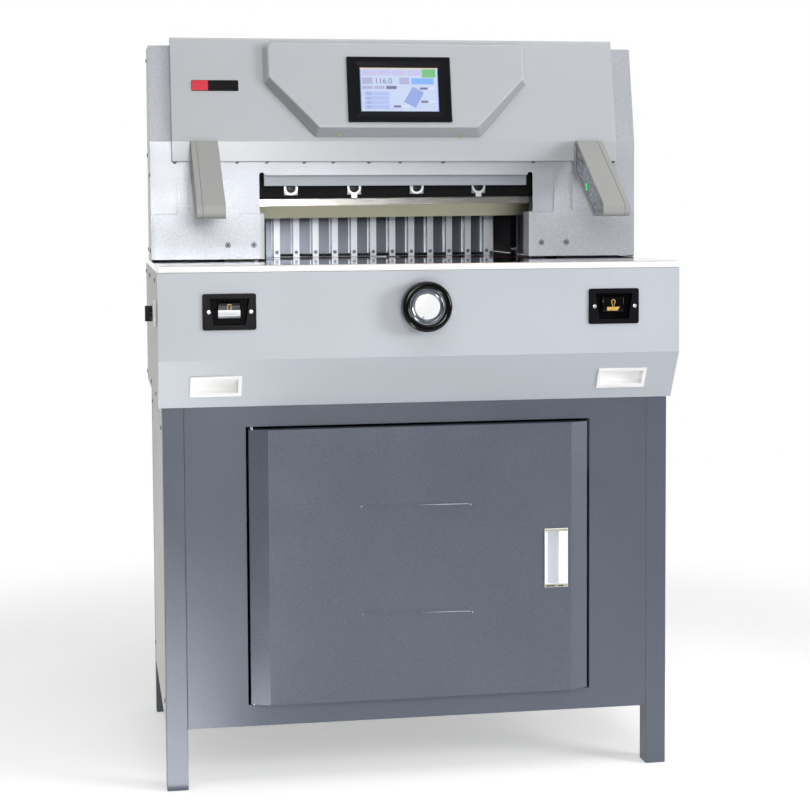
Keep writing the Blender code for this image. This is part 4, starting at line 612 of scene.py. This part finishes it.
def at_face(node, start, direction, lift=0.0):
    """A frame on the face of a node that a line meets first."""
    place, normal = touch(node, start, direction)
    return facing(place + normal * lift, normal)


def at_front(node, across, up, lift=0.0):
    """A frame on a node's front face."""
    return at_face(node, (MIDDLE + across, IN_FRONT, up), FRONT, lift)


def on_front(node, points):
    """The points of a drawing, across and up, laid on a node's front face."""
    return [touch(node, (MIDDLE + across, IN_FRONT, up), FRONT)[0] for across, up in points]


def middle_of(node):
    """The middle of a node's box, across from MIDDLE and up."""
    low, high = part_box(node)
    return (low.x + high.x) * HALF - MIDDLE, (low.z + high.z) * HALF


def slab(name, outline, thickness, matrix, look, body="frame", edge=0.0):
    """A flat plate of an outline, raised along the frame's z axis, with a soft front edge."""
    shape = bmesh.new()
    base = shape.faces.new([shape.verts.new((x, y, 0)) for x, y in outline])
    grown = bmesh.ops.extrude_face_region(shape, geom=[base])
    top = [item for item in grown["geom"] if isinstance(item, bmesh.types.BMVert)]
    bmesh.ops.translate(shape, verts=top, vec=(0, 0, thickness))
    if edge:
        rim = [e for e in shape.edges if all(v in top for v in e.verts)]
        bmesh.ops.bevel(shape, geom=rim, offset=edge, segments=SOFT_STEPS, affect="EDGES", clamp_overlap=True)
    bmesh.ops.transform(shape, matrix=matrix, verts=shape.verts)
    return from_shape(name, shape, look, body)


def lathe(name, profile, matrix, look, body="frame", steps=ROUND_STEPS, shape_of=None):
    """A turned piece from (radius, height) points about the frame's z axis."""
    shape = bmesh.new()
    rings = []
    for radius, height in profile:
        if radius == 0:
            rings.append([shape.verts.new((0, 0, height))])
            continue
        ring = []
        for step in range(steps):
            angle = 2 * math.pi * step / steps
            reach = radius * (shape_of(angle) if shape_of and radius < profile[0][0] * HALF else 1)
            ring.append(shape.verts.new((reach * math.cos(angle), reach * math.sin(angle), height)))
        rings.append(ring)
    for low, high in zip(rings, rings[1:]):
        count = max(len(low), len(high))
        if count == 1:
            continue
        for step in range(count):
            after = (step + 1) % count
            corners = [low[step % len(low)], low[after % len(low)], high[after % len(high)], high[step % len(high)]]
            shape.faces.new(list(dict.fromkeys(corners)))
    bmesh.ops.transform(shape, matrix=matrix, verts=shape.verts)
    return from_shape(name, shape, look, body)


def hexagon(angle):
    """The reach of a six-sided socket at an angle, as a share of its widest reach."""
    return math.cos(math.radians(30)) / math.cos(angle % math.radians(60) - math.radians(30))


def cross(angle):
    """The reach of a cross recess at an angle, as a share of its widest reach."""
    turn = abs(angle % math.radians(90) - math.radians(45))
    return 1 if turn > CROSS_ARM else CROSS_WAIST


def screw(name, matrix, radius, look, body="frame", recess=cross, height=DOME_HEIGHT):
    """A screw with a domed head and a recess, seated in the surface behind it; height is a share of radius."""
    profile = [(radius, -SUNK)] + [(radius * reach, radius * height * up) for reach, up in DOME]
    lathe(name, profile, matrix, look, body, shape_of=recess)


def socket_screw(name, matrix, radius, body="frame"):
    """A pale screw head in a dark ring, with a small dark disc on it for its socket: painted shade."""
    for ending, look, low, high, foot, top in SOCKET_SCREW:
        lathe(name + ending, ((radius * foot, low), (radius * top, high), (0, high)), matrix, look, body)


def seam(name, points, radius, look, body="frame", closed=False):
    """A thin round line along points, half sunk in the surface."""
    curve = bpy.data.curves.new(name, "CURVE")
    curve.dimensions = "3D"
    curve.bevel_depth = radius
    curve.bevel_resolution = 1
    curve.use_fill_caps = True
    spline = curve.splines.new("POLY")
    spline.points.add(len(points) - 1)
    for point, place in zip(spline.points, points):
        point.co = (*place, 1)
    spline.use_cyclic_u = closed
    mesh = mesh_of(curve)
    mesh.shade_smooth()
    return put(name, mesh, look, body)


def dress_stand():
    """Legs, panels and floor of the stand, and the welds between the legs and the front panel."""
    for node in ("leg_front_left", "leg_front_right", "leg_rear_left", "leg_rear_right"):
        dress(node, "stand", TUBE_EDGE)
    for node in ("stand_front_panel", "stand_back_panel"):
        dress(node, "stand", PANEL_EDGE)
    for node in ("stand_side_left", "stand_side_right"):
        dress(node, "side", PANEL_EDGE)
    repaint("stand_floor", "stand")
    low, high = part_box("stand_front_panel")
    for side, across in (("left", low.x), ("right", high.x)):
        points = [(across + BEAD_WAVE * math.sin(BEAD_TURN * step), low.y,
                   low.z + (high.z - low.z) * step / BEAD_STEPS) for step in range(BEAD_STEPS + 1)]
        seam("stand_weld_" + side, points, BEAD_RADIUS, "stand")


def dress_door():
    """The door with painted highlight lines along its ribs, and its flush pull with milky ends, a painted shade on its
    floor and dark slots of painted shade.
    """
    dress("cabinet_door", "stand", FOLD_EDGE)
    repaint("door_hinge_pin", "steel")
    # Pale lines along each rib with a hook and a tip: painted highlight
    for name, left, right in RIBS:
        hook = (left[0] - RIB_HOOK[0], left[1] - RIB_HOOK[1])
        line = on_front("cabinet_door", [hook, left, (right[0] - RIB_GAP, right[1])])
        seam("door_highlight_" + name, line, RIB_LINE, "highlight_paint", "door")
        tip = [(right[0], right[1] - TIP_START), (right[0] + TIP_REACH[0], right[1] - TIP_REACH[1])]
        seam("door_highlight_tip_" + name, on_front("cabinet_door", tip), TIP_LINE, "highlight_paint", "door")
    pull = dress("door_pull", "white", SHEET_EDGE)
    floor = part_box("door_pull")[1].y - PULL_DEPTH
    # The pull's recessed floor gets a blue-grey copy of the white: painted shade
    paint_faces(pull, "pull_floor_painted_shade", lambda middle, normal: normal.y < -SQUARE and middle.y > floor)
    for name, up, size in PULL_ENDS:
        place = at_front("door_pull", PULL_MIDDLE, up)
        slab("pull_end_" + name, rounded(*size), PULL_END_RISE, place, "clear", "door")
    # Dark slabs on the pull's lower end for its two slots: painted shade
    for name, across, size in PULL_SLOTS:
        place = at_front("door_pull", across, PULL_SLOT_UP, PULL_END_RISE)
        slab("pull_slot_" + name, rounded(*size), PULL_SLOT_RISE, place, "dark", "door")


def dress_casing():
    """Apron, side covers, table and rear covers."""
    dress("front_apron", "apron", FOLD_EDGE)
    for node in ("side_cover_left", "side_cover_right"):
        dress(node, "side", SHEET_EDGE)
    for node in ("body_rear_cover", "rear_table_hood", "spindle_trough"):
        dress(node, "cover", PANEL_EDGE)
    dress("table_edge_strip", "white", MOULD_EDGE, SMOOTH_STEPS)
    low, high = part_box("table_edge_strip")
    line = [(low.x + TABLE_LINE_INSET, high.y, high.z), (high.x - TABLE_LINE_INSET, high.y, high.z)]
    seam("table_edge_line", line, TABLE_LINE, "tan")
    dress("table_plate", "mirror", FINE_EDGE)
    dress("rear_table", "mirror", FINE_EDGE)
    repaint("cutting_stick", "red")
    repaint("base_plate", "iron")
    dress("power_inlet", "black", INLET_EDGE)
    for node in ("pull_grip_left", "pull_grip_right"):
        dress(node, "white", MOULD_EDGE, SMOOTH_STEPS)


def dress_head():
    """Front plate, brackets, covers and control box of the head."""
    dress("head_front_plate", "plate", SHEET_EDGE)
    for node in ("bracket_plate_left", "bracket_plate_right"):
        repaint(node, "plate")
    for node in ("head_side_left", "head_side_right", "head_rear_cover"):
        dress(node, "cover", HEAD_EDGE)
    dress("head_cover", "cover", MOULD_EDGE, SMOOTH_STEPS)
    box = dress("control_box", "cover", BOX_EDGE, BOX_STEPS)
    # The box's downward faces get the darker copy of its paint: painted shade
    paint_faces(box, "under", lambda middle, normal: normal.z < -DOWNWARD)
    dress("throat_guard", "guard", SHEET_EDGE)
    for side, sign in (("left", 1), ("right", -1)):
        node = "bracket_plate_" + side
        low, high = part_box(node)
        inner, width = (high.x if sign > 0 else low.x), high.x - low.x
        place = at_front(node, inner - sign * STRIP_INSET - MIDDLE, TABLE_TOP + STRIP_UP, -SUNK)
        slab("bracket_edge_" + side, rounded(*STRIP_SIZE), STRIP_RISE, place, "cover")
        for name, start, end in BRACKET_LINES:
            points = [(inner - sign * width * share - MIDDLE, TABLE_TOP + BRACKET_LINE_UP)
                      for share in (start + BRACKET_LINE_MARGIN, end - BRACKET_LINE_MARGIN)]
            seam("bracket_line_%s_%s" % (side, name), on_front(node, points), BRACKET_LINE, "dull")
    bezel = dress("display_bezel", "black", SHEET_EDGE)
    # The bezel's slopes facing right and forward get a lighter black: painted light
    paint_faces(bezel, "slope", lambda middle, normal: normal.x > LEANING and normal.y < -LEANING)
    dress("display_screen", "gloss_black", HAIR_EDGE)


def dress_arms():
    """The barrier arms, with a joint round each and a silvery film in the window."""
    for side, sign in (("left", -1), ("right", 1)):
        node = "barrier_arm_" + side
        low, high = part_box(node)
        inner, outer = (low.x, high.x) if sign > 0 else (high.x, low.x)
        joint = outer - sign * (ARM_SEAM_INSET - ARM_SEAM_WIDTH * HALF)
        arm = dress(node, "arm", ARM_EDGE, SMOOTH_STEPS)
        paint_faces(arm, "arm_joint", lambda middle, normal: abs(middle.x - joint) < ARM_SEAM_WIDTH)
        paint_faces(arm, "film", lambda middle, normal: normal.x * sign < -SQUARE
                    and WINDOW_DEPTH * HALF < abs(middle.x - inner) < WINDOW_DEPTH * 2)


def dress_cutting():
    """Knife, its beam and bolts, the clamp and the drive."""
    blade = dress("knife_blade", "blade", HAIR_EDGE)
    paint_faces(blade, "bevel", lambda middle, normal: normal.y < -LEANING and normal.z < -LEANING)
    dress("knife_beam", "iron", SHEET_EDGE)
    dress("clamp_beam", "cast", BLOCK_EDGE)
    for node in ("side_frame_left", "side_frame_right", "drive_crank"):
        repaint(node, "cast")
    repaint("drive_gearmotor", "iron")
    repaint("gauge_spindle", "steel")
    for number in range(1, BOLTS + 1):
        node = "knife_bolt_%d" % number
        low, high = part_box(node)
        centre = Vector(((low.x + high.x) * HALF, high.z - (high.x - low.x) * HALF))
        start, end = (low.y + depth for depth in SOCKET_DEPTHS)
        bolt = dress(node, "zinc", FINE_EDGE)
        paint_faces(bolt, "socket", lambda middle, normal: (middle.xz - centre).length < SOCKET_REACH
                    and start < middle.y < end)
        paint_faces(bolt, "dull", lambda middle, normal: normal.y < -SQUARE and middle.y > low.y + PLATE_DEPTH
                    and (middle.xz - centre).length > CORNER_REACH)
        screw("bolt_socket_%d" % number, at_face(node, (centre.x, IN_FRONT, centre.y), FRONT), SOCKET_RADIUS,
              "socket", "knife", hexagon, SOCKET_HEIGHT)


def dress_gauge():
    """The comb of the back gauge: a screw in each finger, bright lines beside them and dark slabs under its webs, which
    are painted shadow.
    """
    node = "back_gauge"
    low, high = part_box(node)
    shoulder = low.y + FINGER_DEPTH
    tall = high.z - TABLE_TOP
    gauge = dress(node, "gauge", FINE_EDGE)
    # The webs get a darker copy of the aluminium: painted shade
    paint_faces(gauge, "web", lambda middle, normal: normal.y < -SQUARE
                and abs(middle.y - shoulder) < SHOULDER_PLAY)
    paint_faces(gauge, "finger_side", lambda middle, normal: abs(normal.x) > SQUARE and middle.y < shoulder)
    pitch = (high.x - low.x) / FINGERS
    for number in range(1, FINGERS + 1):
        across = low.x + pitch * (number - HALF)
        place = at_face(node, (across, IN_FRONT, TABLE_TOP + GAUGE_SCREW_UP), FRONT)
        socket_screw("gauge_screw_%d" % number, place, GAUGE_SCREW, "gauge")
        beside = across - FINGER_WIDTH * HALF - GAUGE_LINE_ASIDE
        line = facing((beside, shoulder, (TABLE_TOP + GAUGE_LINE_FOOT + high.z) * HALF), BACK)
        slab("gauge_line_%d" % number, rounded(GAUGE_LINE_WIDTH, tall - GAUGE_LINE_MARGIN, GAUGE_LINE_ROUND),
             GAUGE_LINE_RISE, line, "gauge", "gauge")
        if number == FINGERS:
            rim = across + FINGER_WIDTH * HALF
            end = facing(((rim + high.x) * HALF, shoulder, (TABLE_TOP + GAUGE_END_FOOT + high.z) * HALF), BACK)
            slab("gauge_end", rounded(high.x - rim - GAUGE_END_PLAY, tall - GAUGE_END_MARGIN, GAUGE_LINE_ROUND),
                 GAUGE_LINE_RISE, end, "gauge", "gauge")
        if number > 1:
            # A dark slab at the foot of the web between two fingers: painted shadow
            shadow_place = facing((across - pitch * HALF, shoulder, TABLE_TOP + GAUGE_SHADOW_UP), BACK)
            width = pitch - FINGER_WIDTH - GAUGE_SHADOW_ROUND
            slab("gauge_painted_shadow_%d" % (number - 1), rounded(width, GAUGE_SHADOW_HEIGHT, GAUGE_SHADOW_ROUND), GAUGE_SHADOW_RISE,
                 shadow_place, "pit", "gauge")


def dress_buttons():
    """The start buttons with their wells, a painted reflection and a painted highlight band on the left one, and a gold
    sign on each.
    """
    buttons = []
    for side, look in (("left", "button_painted_reflection"), ("right", "gloss_black")):
        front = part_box("button_bezel_" + side)[0].y
        bezel = dress("button_bezel_" + side, "black", SHEET_EDGE)
        # The faces deep in each well are painted near-black: painted shade
        paint_faces(bezel, "pit", lambda middle, normal: middle.y > front + WELL_DEPTH)
        buttons.append(dress("start_button_" + side, look, BLOCK_EDGE, SMOOTH_STEPS))
    across, up = middle_of("start_button_left")
    # A brighter band below the left button's middle: painted highlight
    paint_faces(buttons[0], "zinc", lambda middle, normal: normal.y < -MOSTLY
                and up - HIGHLIGHT_BAND_LOW < middle.z < up - HIGHLIGHT_BAND_HIGH)
    top = up + ARCH_TOP
    arch = [(across - ARCH_HALF, top - ARCH_HEIGHT), (across - ARCH_HALF, top), (across + ARCH_HALF, top),
            (across + ARCH_HALF, top - ARCH_HEIGHT)]
    seam("start_sign_left", on_front("start_button_left", arch), SIGN_LINE, "gold", "button_left")
    across, up = middle_of("start_button_right")
    loop = [(across + LOOP_RADIUS * math.cos(math.radians(turn)),
             up + LOOP_UP + LOOP_RADIUS * math.sin(math.radians(turn))) for turn in LOOP_TURNS]
    loop.append((across - LOOP_FOOT[0], up - LOOP_FOOT[1]))
    seam("start_sign_right", on_front("start_button_right", loop), SIGN_LINE, "gold", "button_right", True)
    place = at_front("start_button_right", across, up - BAR_DOWN, -SUNK)
    slab("start_sign_bar", BAR_OUTLINE, BAR_RISE, place, "gold", "button_right", HAIR_EDGE)


def dress_handwheel():
    """The handwheel: a black crowned ring, a bright bead, a grey ring and a spun steel disc."""
    low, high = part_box("handwheel")
    hub = facing(((low.x + high.x) * HALF, high.y, (low.z + high.z) * HALF), BACK)
    turns = [math.radians(180) * step / RIM_STEPS for step in range(RIM_STEPS, -1, -1)]
    rim = [(RIM_MIDDLE[0] - RIM_HALVES[0] * math.cos(turn), RIM_MIDDLE[1] + RIM_HALVES[1] * math.sin(turn))
           for turn in turns]
    ring = lathe("handwheel_ring", RING_START + rim + RING_END, hub, "gloss_black", "spindle", FINE_STEPS)
    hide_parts("handwheel")
    # The bead's pale paint stands in for the shine of its chrome: painted highlight
    lathe("handwheel_bead", BEAD_SHAPE, hub, "highlight_paint", "spindle", FINE_STEPS)
    lathe("handwheel_inner", INNER_SHAPE, hub, "smoke", "spindle", FINE_STEPS)
    disc = lathe("handwheel_face", DISC_SHAPE, hub, "disc", "spindle", FINE_STEPS)
    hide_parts("handwheel_disc")
    screw("handwheel_index", hub @ Matrix.Translation(INDEX_PLACE), INDEX_RADIUS, "dull", "spindle")


def dress_switch():
    """The main switch: a white base with a blue dot, and a black knob."""
    dress("main_switch_base", "white", BLOCK_EDGE)
    dress("main_switch_knob", "black", PANEL_EDGE)
    low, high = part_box("main_switch_base")
    spot = at_face("main_switch_base", (IN_FRONT, low.y + DOT_INSET[0], high.z - DOT_INSET[1]), LEFT)
    lathe("switch_dot", DOT_SHAPE, spot, "blue")


def add_screws():
    """The screws that show on brackets, bezels, control box and under the cover's lip."""
    for name, across in BRACKET_SCREWS:
        place = at_front("bracket_plate_" + name.split("_")[0], across, BRACKET_SCREWS_UP)
        socket_screw("bracket_screw_" + name, place, BRACKET_SCREW)
    for name, across in BEZEL_SCREWS:
        place = at_front("button_bezel_" + name.split("_")[0], across, BEZEL_SCREWS_UP)
        screw("bezel_screw_" + name, place, BEZEL_SCREW, "zinc")
    for name, across in BOX_SCREWS:
        screw("box_screw_" + name, at_front("control_box", across, BOX_SCREWS_UP), BOX_SCREW, "brass")
    for number, across in enumerate(LIP_SCREWS, 1):
        place = at_front("head_front_plate", across, LIP_SCREWS_UP)
        screw("cover_screw_%d" % number, place, LIP_SCREW, "screw")


def on_screen(across, up, lift=0):
    """A frame on the screen, given from its middle by shares of its width and height."""
    centre = at_front("display_screen", *middle_of("display_screen"))
    return centre @ Matrix.Translation((across * SCREEN_WIDE, up * SCREEN_TALL, lift))


def tile(name, left, right, low, high, glow, layer=2):
    """A lit patch of the screen, given by shares of its width and height."""
    outline = rounded(SCREEN_WIDE * (right - left), SCREEN_TALL * (high - low), TILE_ROUND)
    place = on_screen((left + right - 1) * HALF, (low + high - 1) * HALF)
    slab("screen_" + name, outline, LAYER * layer, place, "lit_" + glow)


def words(name, text, left, low, size, layer=3):
    """Generic figures on the screen, given by shares of its width and height."""
    curve = bpy.data.curves.new(name, "FONT")
    curve.body = text
    curve.size = size
    curve.extrude = LAYER * HALF
    mesh = mesh_of(curve)
    mesh.transform(on_screen(left - HALF, low - HALF, LAYER * layer))
    put("screen_" + name, mesh, "lit_figure")


def light_screen():
    """A generic picture on the screen: tabs, figures, a list of sheet sizes and a tilted sheet."""
    tile("ground", 0.004, 0.996, 0.005, 0.995, "sky", 1)
    tile("top_line", 0.004, 0.996, 0.968, 0.995, "tan")
    tile("left_line", 0.004, 0.014, 0.01, 0.96, "rim")
    tile("right_line", 0.986, 0.996, 0.01, 0.96, "rim")
    for number in range(4):
        tile("tab_%d" % (number + 1), 0.03 + 0.19 * number, 0.21 + 0.19 * number, 0.82, 0.94, "lilac")
    tile("tab_5", 0.79, 0.965, 0.78, 0.965, "green")
    tile("field_1", 0.03, 0.16, 0.62, 0.77, "field")
    tile("field_2", 0.50, 0.63, 0.62, 0.77, "field")
    tile("key", 0.655, 0.94, 0.62, 0.76, "button")
    words("figure", "116.0", 0.185, 0.635, 0.0155)
    for number, (left, right, glow) in enumerate(((0.03, 0.16, "field"), (0.18, 0.31, "field"), (0.33, 0.465, "navy"))):
        tile("small_%d" % (number + 1), left, right, 0.51, 0.58, glow)
    tile("list", 0.04, 0.38, 0.05, 0.46, "panel")
    for number in range(4):
        low = 0.365 - 0.1 * number
        tile("row_%d" % (number + 1), 0.06, 0.36, low, low + 0.08, "row", 3)
        words("size_%d" % (number + 1), "A%d" % (number + 3), 0.08, low + 0.012, 0.0065, 4)
    for number, (left, middle, right, low) in enumerate(((0.76, 0.86, 0.95, 0.50), (0.77, 0.86, 0.96, 0.20),
                                                         (0.42, 0.51, 0.62, 0.09))):
        tile("dark_%d" % (number + 1), left, middle, low, low + 0.05, "navy")
        tile("light_%d" % (number + 1), middle + 0.01, right, low, low + 0.05, "paper")
    corners = [((u - HALF) * SCREEN_WIDE, (v - HALF) * SCREEN_TALL) for u, v in SHEET_CORNERS]
    slab("screen_sheet", corners, LAYER * 3, on_screen(0, 0), "lit_sheet")


CORNERS = ((0.03, 0.07), (0.97, 0.07), (0.03, 0.93), (0.97, 0.93))
HEAD_SIDE = ((0.12, 0.05), (0.88, 0.05), (0.12, 0.4), (0.88, 0.95), (0.88, 0.5))
SIDE_COVER = ((0.2, 0.07), (0.97, 0.07), (0.2, 0.93), (0.97, 0.93), (0.6, 0.07), (0.6, 0.93))
HOOD = ((0.05, 0.1), (0.95, 0.1), (0.5, 0.1))
COVER_SCREWS = (
    ("body_rear_cover", BACK, CORNERS + ((0.35, 0.07), (0.65, 0.07), (0.35, 0.93), (0.65, 0.93))),
    ("head_rear_cover", BACK, CORNERS + ((0.03, 0.5), (0.97, 0.5), (0.35, 0.93), (0.65, 0.93))),
    ("head_side_left", LEFT, HEAD_SIDE), ("head_side_right", RIGHT, HEAD_SIDE),
    ("side_cover_left", LEFT, SIDE_COVER), ("side_cover_right", RIGHT, SIDE_COVER),
    ("rear_table_hood", LEFT, HOOD), ("rear_table_hood", RIGHT, HOOD), ("stand_back_panel", BACK, CORNERS),
    ("stand_side_left", LEFT, CORNERS), ("stand_side_right", RIGHT, CORNERS),
)


def add_cover_screws():
    """The screws that hold the covers at the sides and the back, at shares of each cover's box."""
    for number, (node, direction, shares) in enumerate(COVER_SCREWS):
        low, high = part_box(node)
        way = Vector(direction)
        for place, (along, up) in enumerate(shares):
            spot = Vector((low.x + (high.x - low.x) * along, low.y + (high.y - low.y) * along,
                           low.z + (high.z - low.z) * up))
            start = spot - way * (spot.dot(way) - IN_FRONT)
            screw("cover_%d_screw_%d" % (number, place), at_face(node, start, direction), COVER_SCREW, "screw")


def add_status_lamp():
    """The green status light behind the film of the right arm."""
    streak = [touch("barrier_arm_right", (MIDDLE, STATUS_Y, up), LEFT)[0] for up in STATUS_HEIGHTS]
    seam("status_lamp", streak, STATUS_RADIUS, "lamp")


def add_inlet():
    """The three flat pins in the recess of the power inlet."""
    low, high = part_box("power_inlet")
    across, up = (low.x + high.x) * HALF, (low.z + high.z) * HALF
    for name, side, rise in INLET_PINS:
        floor = at_face("power_inlet", (across + side, -IN_FRONT, up + rise), BACK)
        slab("inlet_pin_" + name, rounded(*PIN_SIZE), PIN_LENGTH, floor, "steel", edge=FINE_EDGE)


def add_badge():
    """A bare two-tone badge plate on the slope of the cover."""
    matrix = at_front("head_cover", *BADGE_PLACE)
    slab("badge_plate", rounded(*BADGE_PLATE), BADGE_RISE, matrix, "badge_black", edge=BADGE_EDGE)
    left = matrix @ Matrix.Translation((FIELD_LEFT, 0, BADGE_RISE))
    slab("badge_field", rounded(*FIELD_SIZE), FIELD_RISE, left, "badge_red", edge=FIELD_EDGE)


def add_camera():
    """The camera at the photograph's viewpoint."""
    yaw, pitch, roll = (math.radians(turn) for turn in CAMERA_TURNS)
    ahead = Vector((math.sin(yaw) * math.cos(pitch), math.cos(yaw) * math.cos(pitch), math.sin(pitch)))
    level = Vector((math.cos(yaw), -math.sin(yaw), 0))
    upright = level.cross(ahead)
    across = math.cos(roll) * level + math.sin(roll) * upright
    above = math.cos(roll) * upright - math.sin(roll) * level
    data = bpy.data.cameras.new("camera")
    data.lens = CAMERA_LENS
    data.shift_y = CAMERA_SHIFT
    camera = add_object("camera", data)
    camera.matrix_world = Matrix.Translation(CAMERA_PLACE) @ Matrix((across, above, -ahead)).transposed().to_4x4()
    bpy.context.scene.camera = camera


def add_lamp(name, place, target, size, energy, kind="full", up=UP):
    """A lamp aimed at a point. A glare lamp shows in reflections alone, and a soft one not in them."""
    data = bpy.data.lights.new(name, "AREA")
    data.shape = "RECTANGLE"
    data.size, data.size_y = size
    data.energy = energy
    lamp = add_object(name, data)
    lamp.matrix_world = facing(place, Vector(place) - Vector(target), up)
    lamp.visible_diffuse = kind != "glare"
    lamp.visible_glossy = kind != "soft"
    lamp.visible_camera = False


def combined(operation, one, other):
    """The output of a math node for two values."""
    step = add_node(one.id_data, "Math")
    step.operation = operation
    for socket, value in zip(step.inputs, (one, other)):
        connect(socket, value)
    return step.outputs[0]


def mixed_shader(share, one, other):
    """Two shaders mixed by a share."""
    mix = add_node(share.id_data, "MixShader", Fac=share)
    for socket, shader in zip(mix.inputs[1:], (one, other)):
        connect(socket, shader.outputs[0])
    return mix


def seen_share(tree):
    """1 for what is seen, straight or in a reflection, and 0 for the light on the object."""
    path = add_node(tree, "LightPath")
    seen = combined("MAXIMUM", path.outputs["Is Camera Ray"], path.outputs["Is Glossy Ray"])
    seen = combined("MAXIMUM", seen, path.outputs["Is Transmission Ray"])
    return combined("MULTIPLY", seen, combined("LESS_THAN", path.outputs["Diffuse Depth"], HALF))


def dimming(tree, place, limits):
    """How bright the surroundings are: white to the camera, and in reflections dimmer towards the front."""
    along = add_node(tree, "SeparateXYZ", Vector=place).outputs["Y"]
    camera = add_node(tree, "LightPath").outputs["Is Camera Ray"]
    return combined("MAXIMUM", spread(along, DIM, 1.0, limits), camera)


def add_world():
    """White where it is seen, and a plain soft light on the object."""
    world = bpy.data.worlds.new("studio")
    bpy.context.scene.world = world
    world.use_nodes = True
    tree = world.node_tree
    tree.nodes.clear()
    where = add_node(tree, "TexCoord").outputs["Generated"]
    soft = add_node(tree, "Background", Color=WHITE, Strength=AMBIENT)
    white = add_node(tree, "Background", Color=WHITE, Strength=dimming(tree, where, WORLD_DIM))
    add_node(tree, "OutputWorld", Surface=mixed_shader(seen_share(tree), soft, white).outputs[0])


def paint_floor():
    """A pale material that keeps the shadow near the object and is white further out."""
    material = bpy.data.materials.new("floor_white")
    material.use_nodes = True
    tree = material.node_tree
    tree.nodes.clear()
    where = add_node(tree, "TexCoord").outputs["Object"]
    length = add_node(tree, "VectorMath")
    length.operation = "LENGTH"
    connect(length.inputs[0], where)
    distance = length.outputs["Value"]
    far = spread(distance, 0, 1, SHADOW_REACH)
    far.node.interpolation_type = "SMOOTHSTEP"
    seen = seen_share(tree)
    dull = add_node(tree, "BsdfDiffuse", Color=spread(distance, BOUNCE_NEAR, BOUNCE_FAR, BOUNCE_REACH))
    glow = add_node(tree, "Emission", Strength=FLOOR_GLOW)
    none = add_node(tree, "Emission", Strength=0.0)
    near = add_node(tree, "AddShader")
    for socket, shader in zip(near.inputs, (dull, mixed_shader(seen, none, glow))):
        connect(socket, shader.outputs[0])
    white = add_node(tree, "Emission", Strength=dimming(tree, where, FLOOR_DIM))
    share = combined("MULTIPLY", far, seen)
    add_node(tree, "OutputMaterial", Surface=mixed_shader(share, near, white).outputs[0])
    return material


def add_floor():
    """The floor round the object."""
    shape = bmesh.new()
    bmesh.ops.create_grid(shape, x_segments=FLOOR_SQUARES, y_segments=FLOOR_SQUARES, size=FLOOR_SIZE)
    floor = add_object("floor", mesh_from("floor", shape))
    floor.location.z = FLOOR_DROP
    floor.data.materials.append(paint_floor())


add_camera()
dress_stand()
dress_door()
dress_casing()
dress_head()
dress_arms()
dress_cutting()
dress_gauge()
dress_buttons()
dress_handwheel()
dress_switch()
light_screen()
add_screws()
add_cover_screws()
add_status_lamp()
add_inlet()
add_badge()
add_world()
add_floor()
for lamp in LAMPS:
    add_lamp(*lamp)
bpy.context.scene.view_settings.view_transform = "Standard"
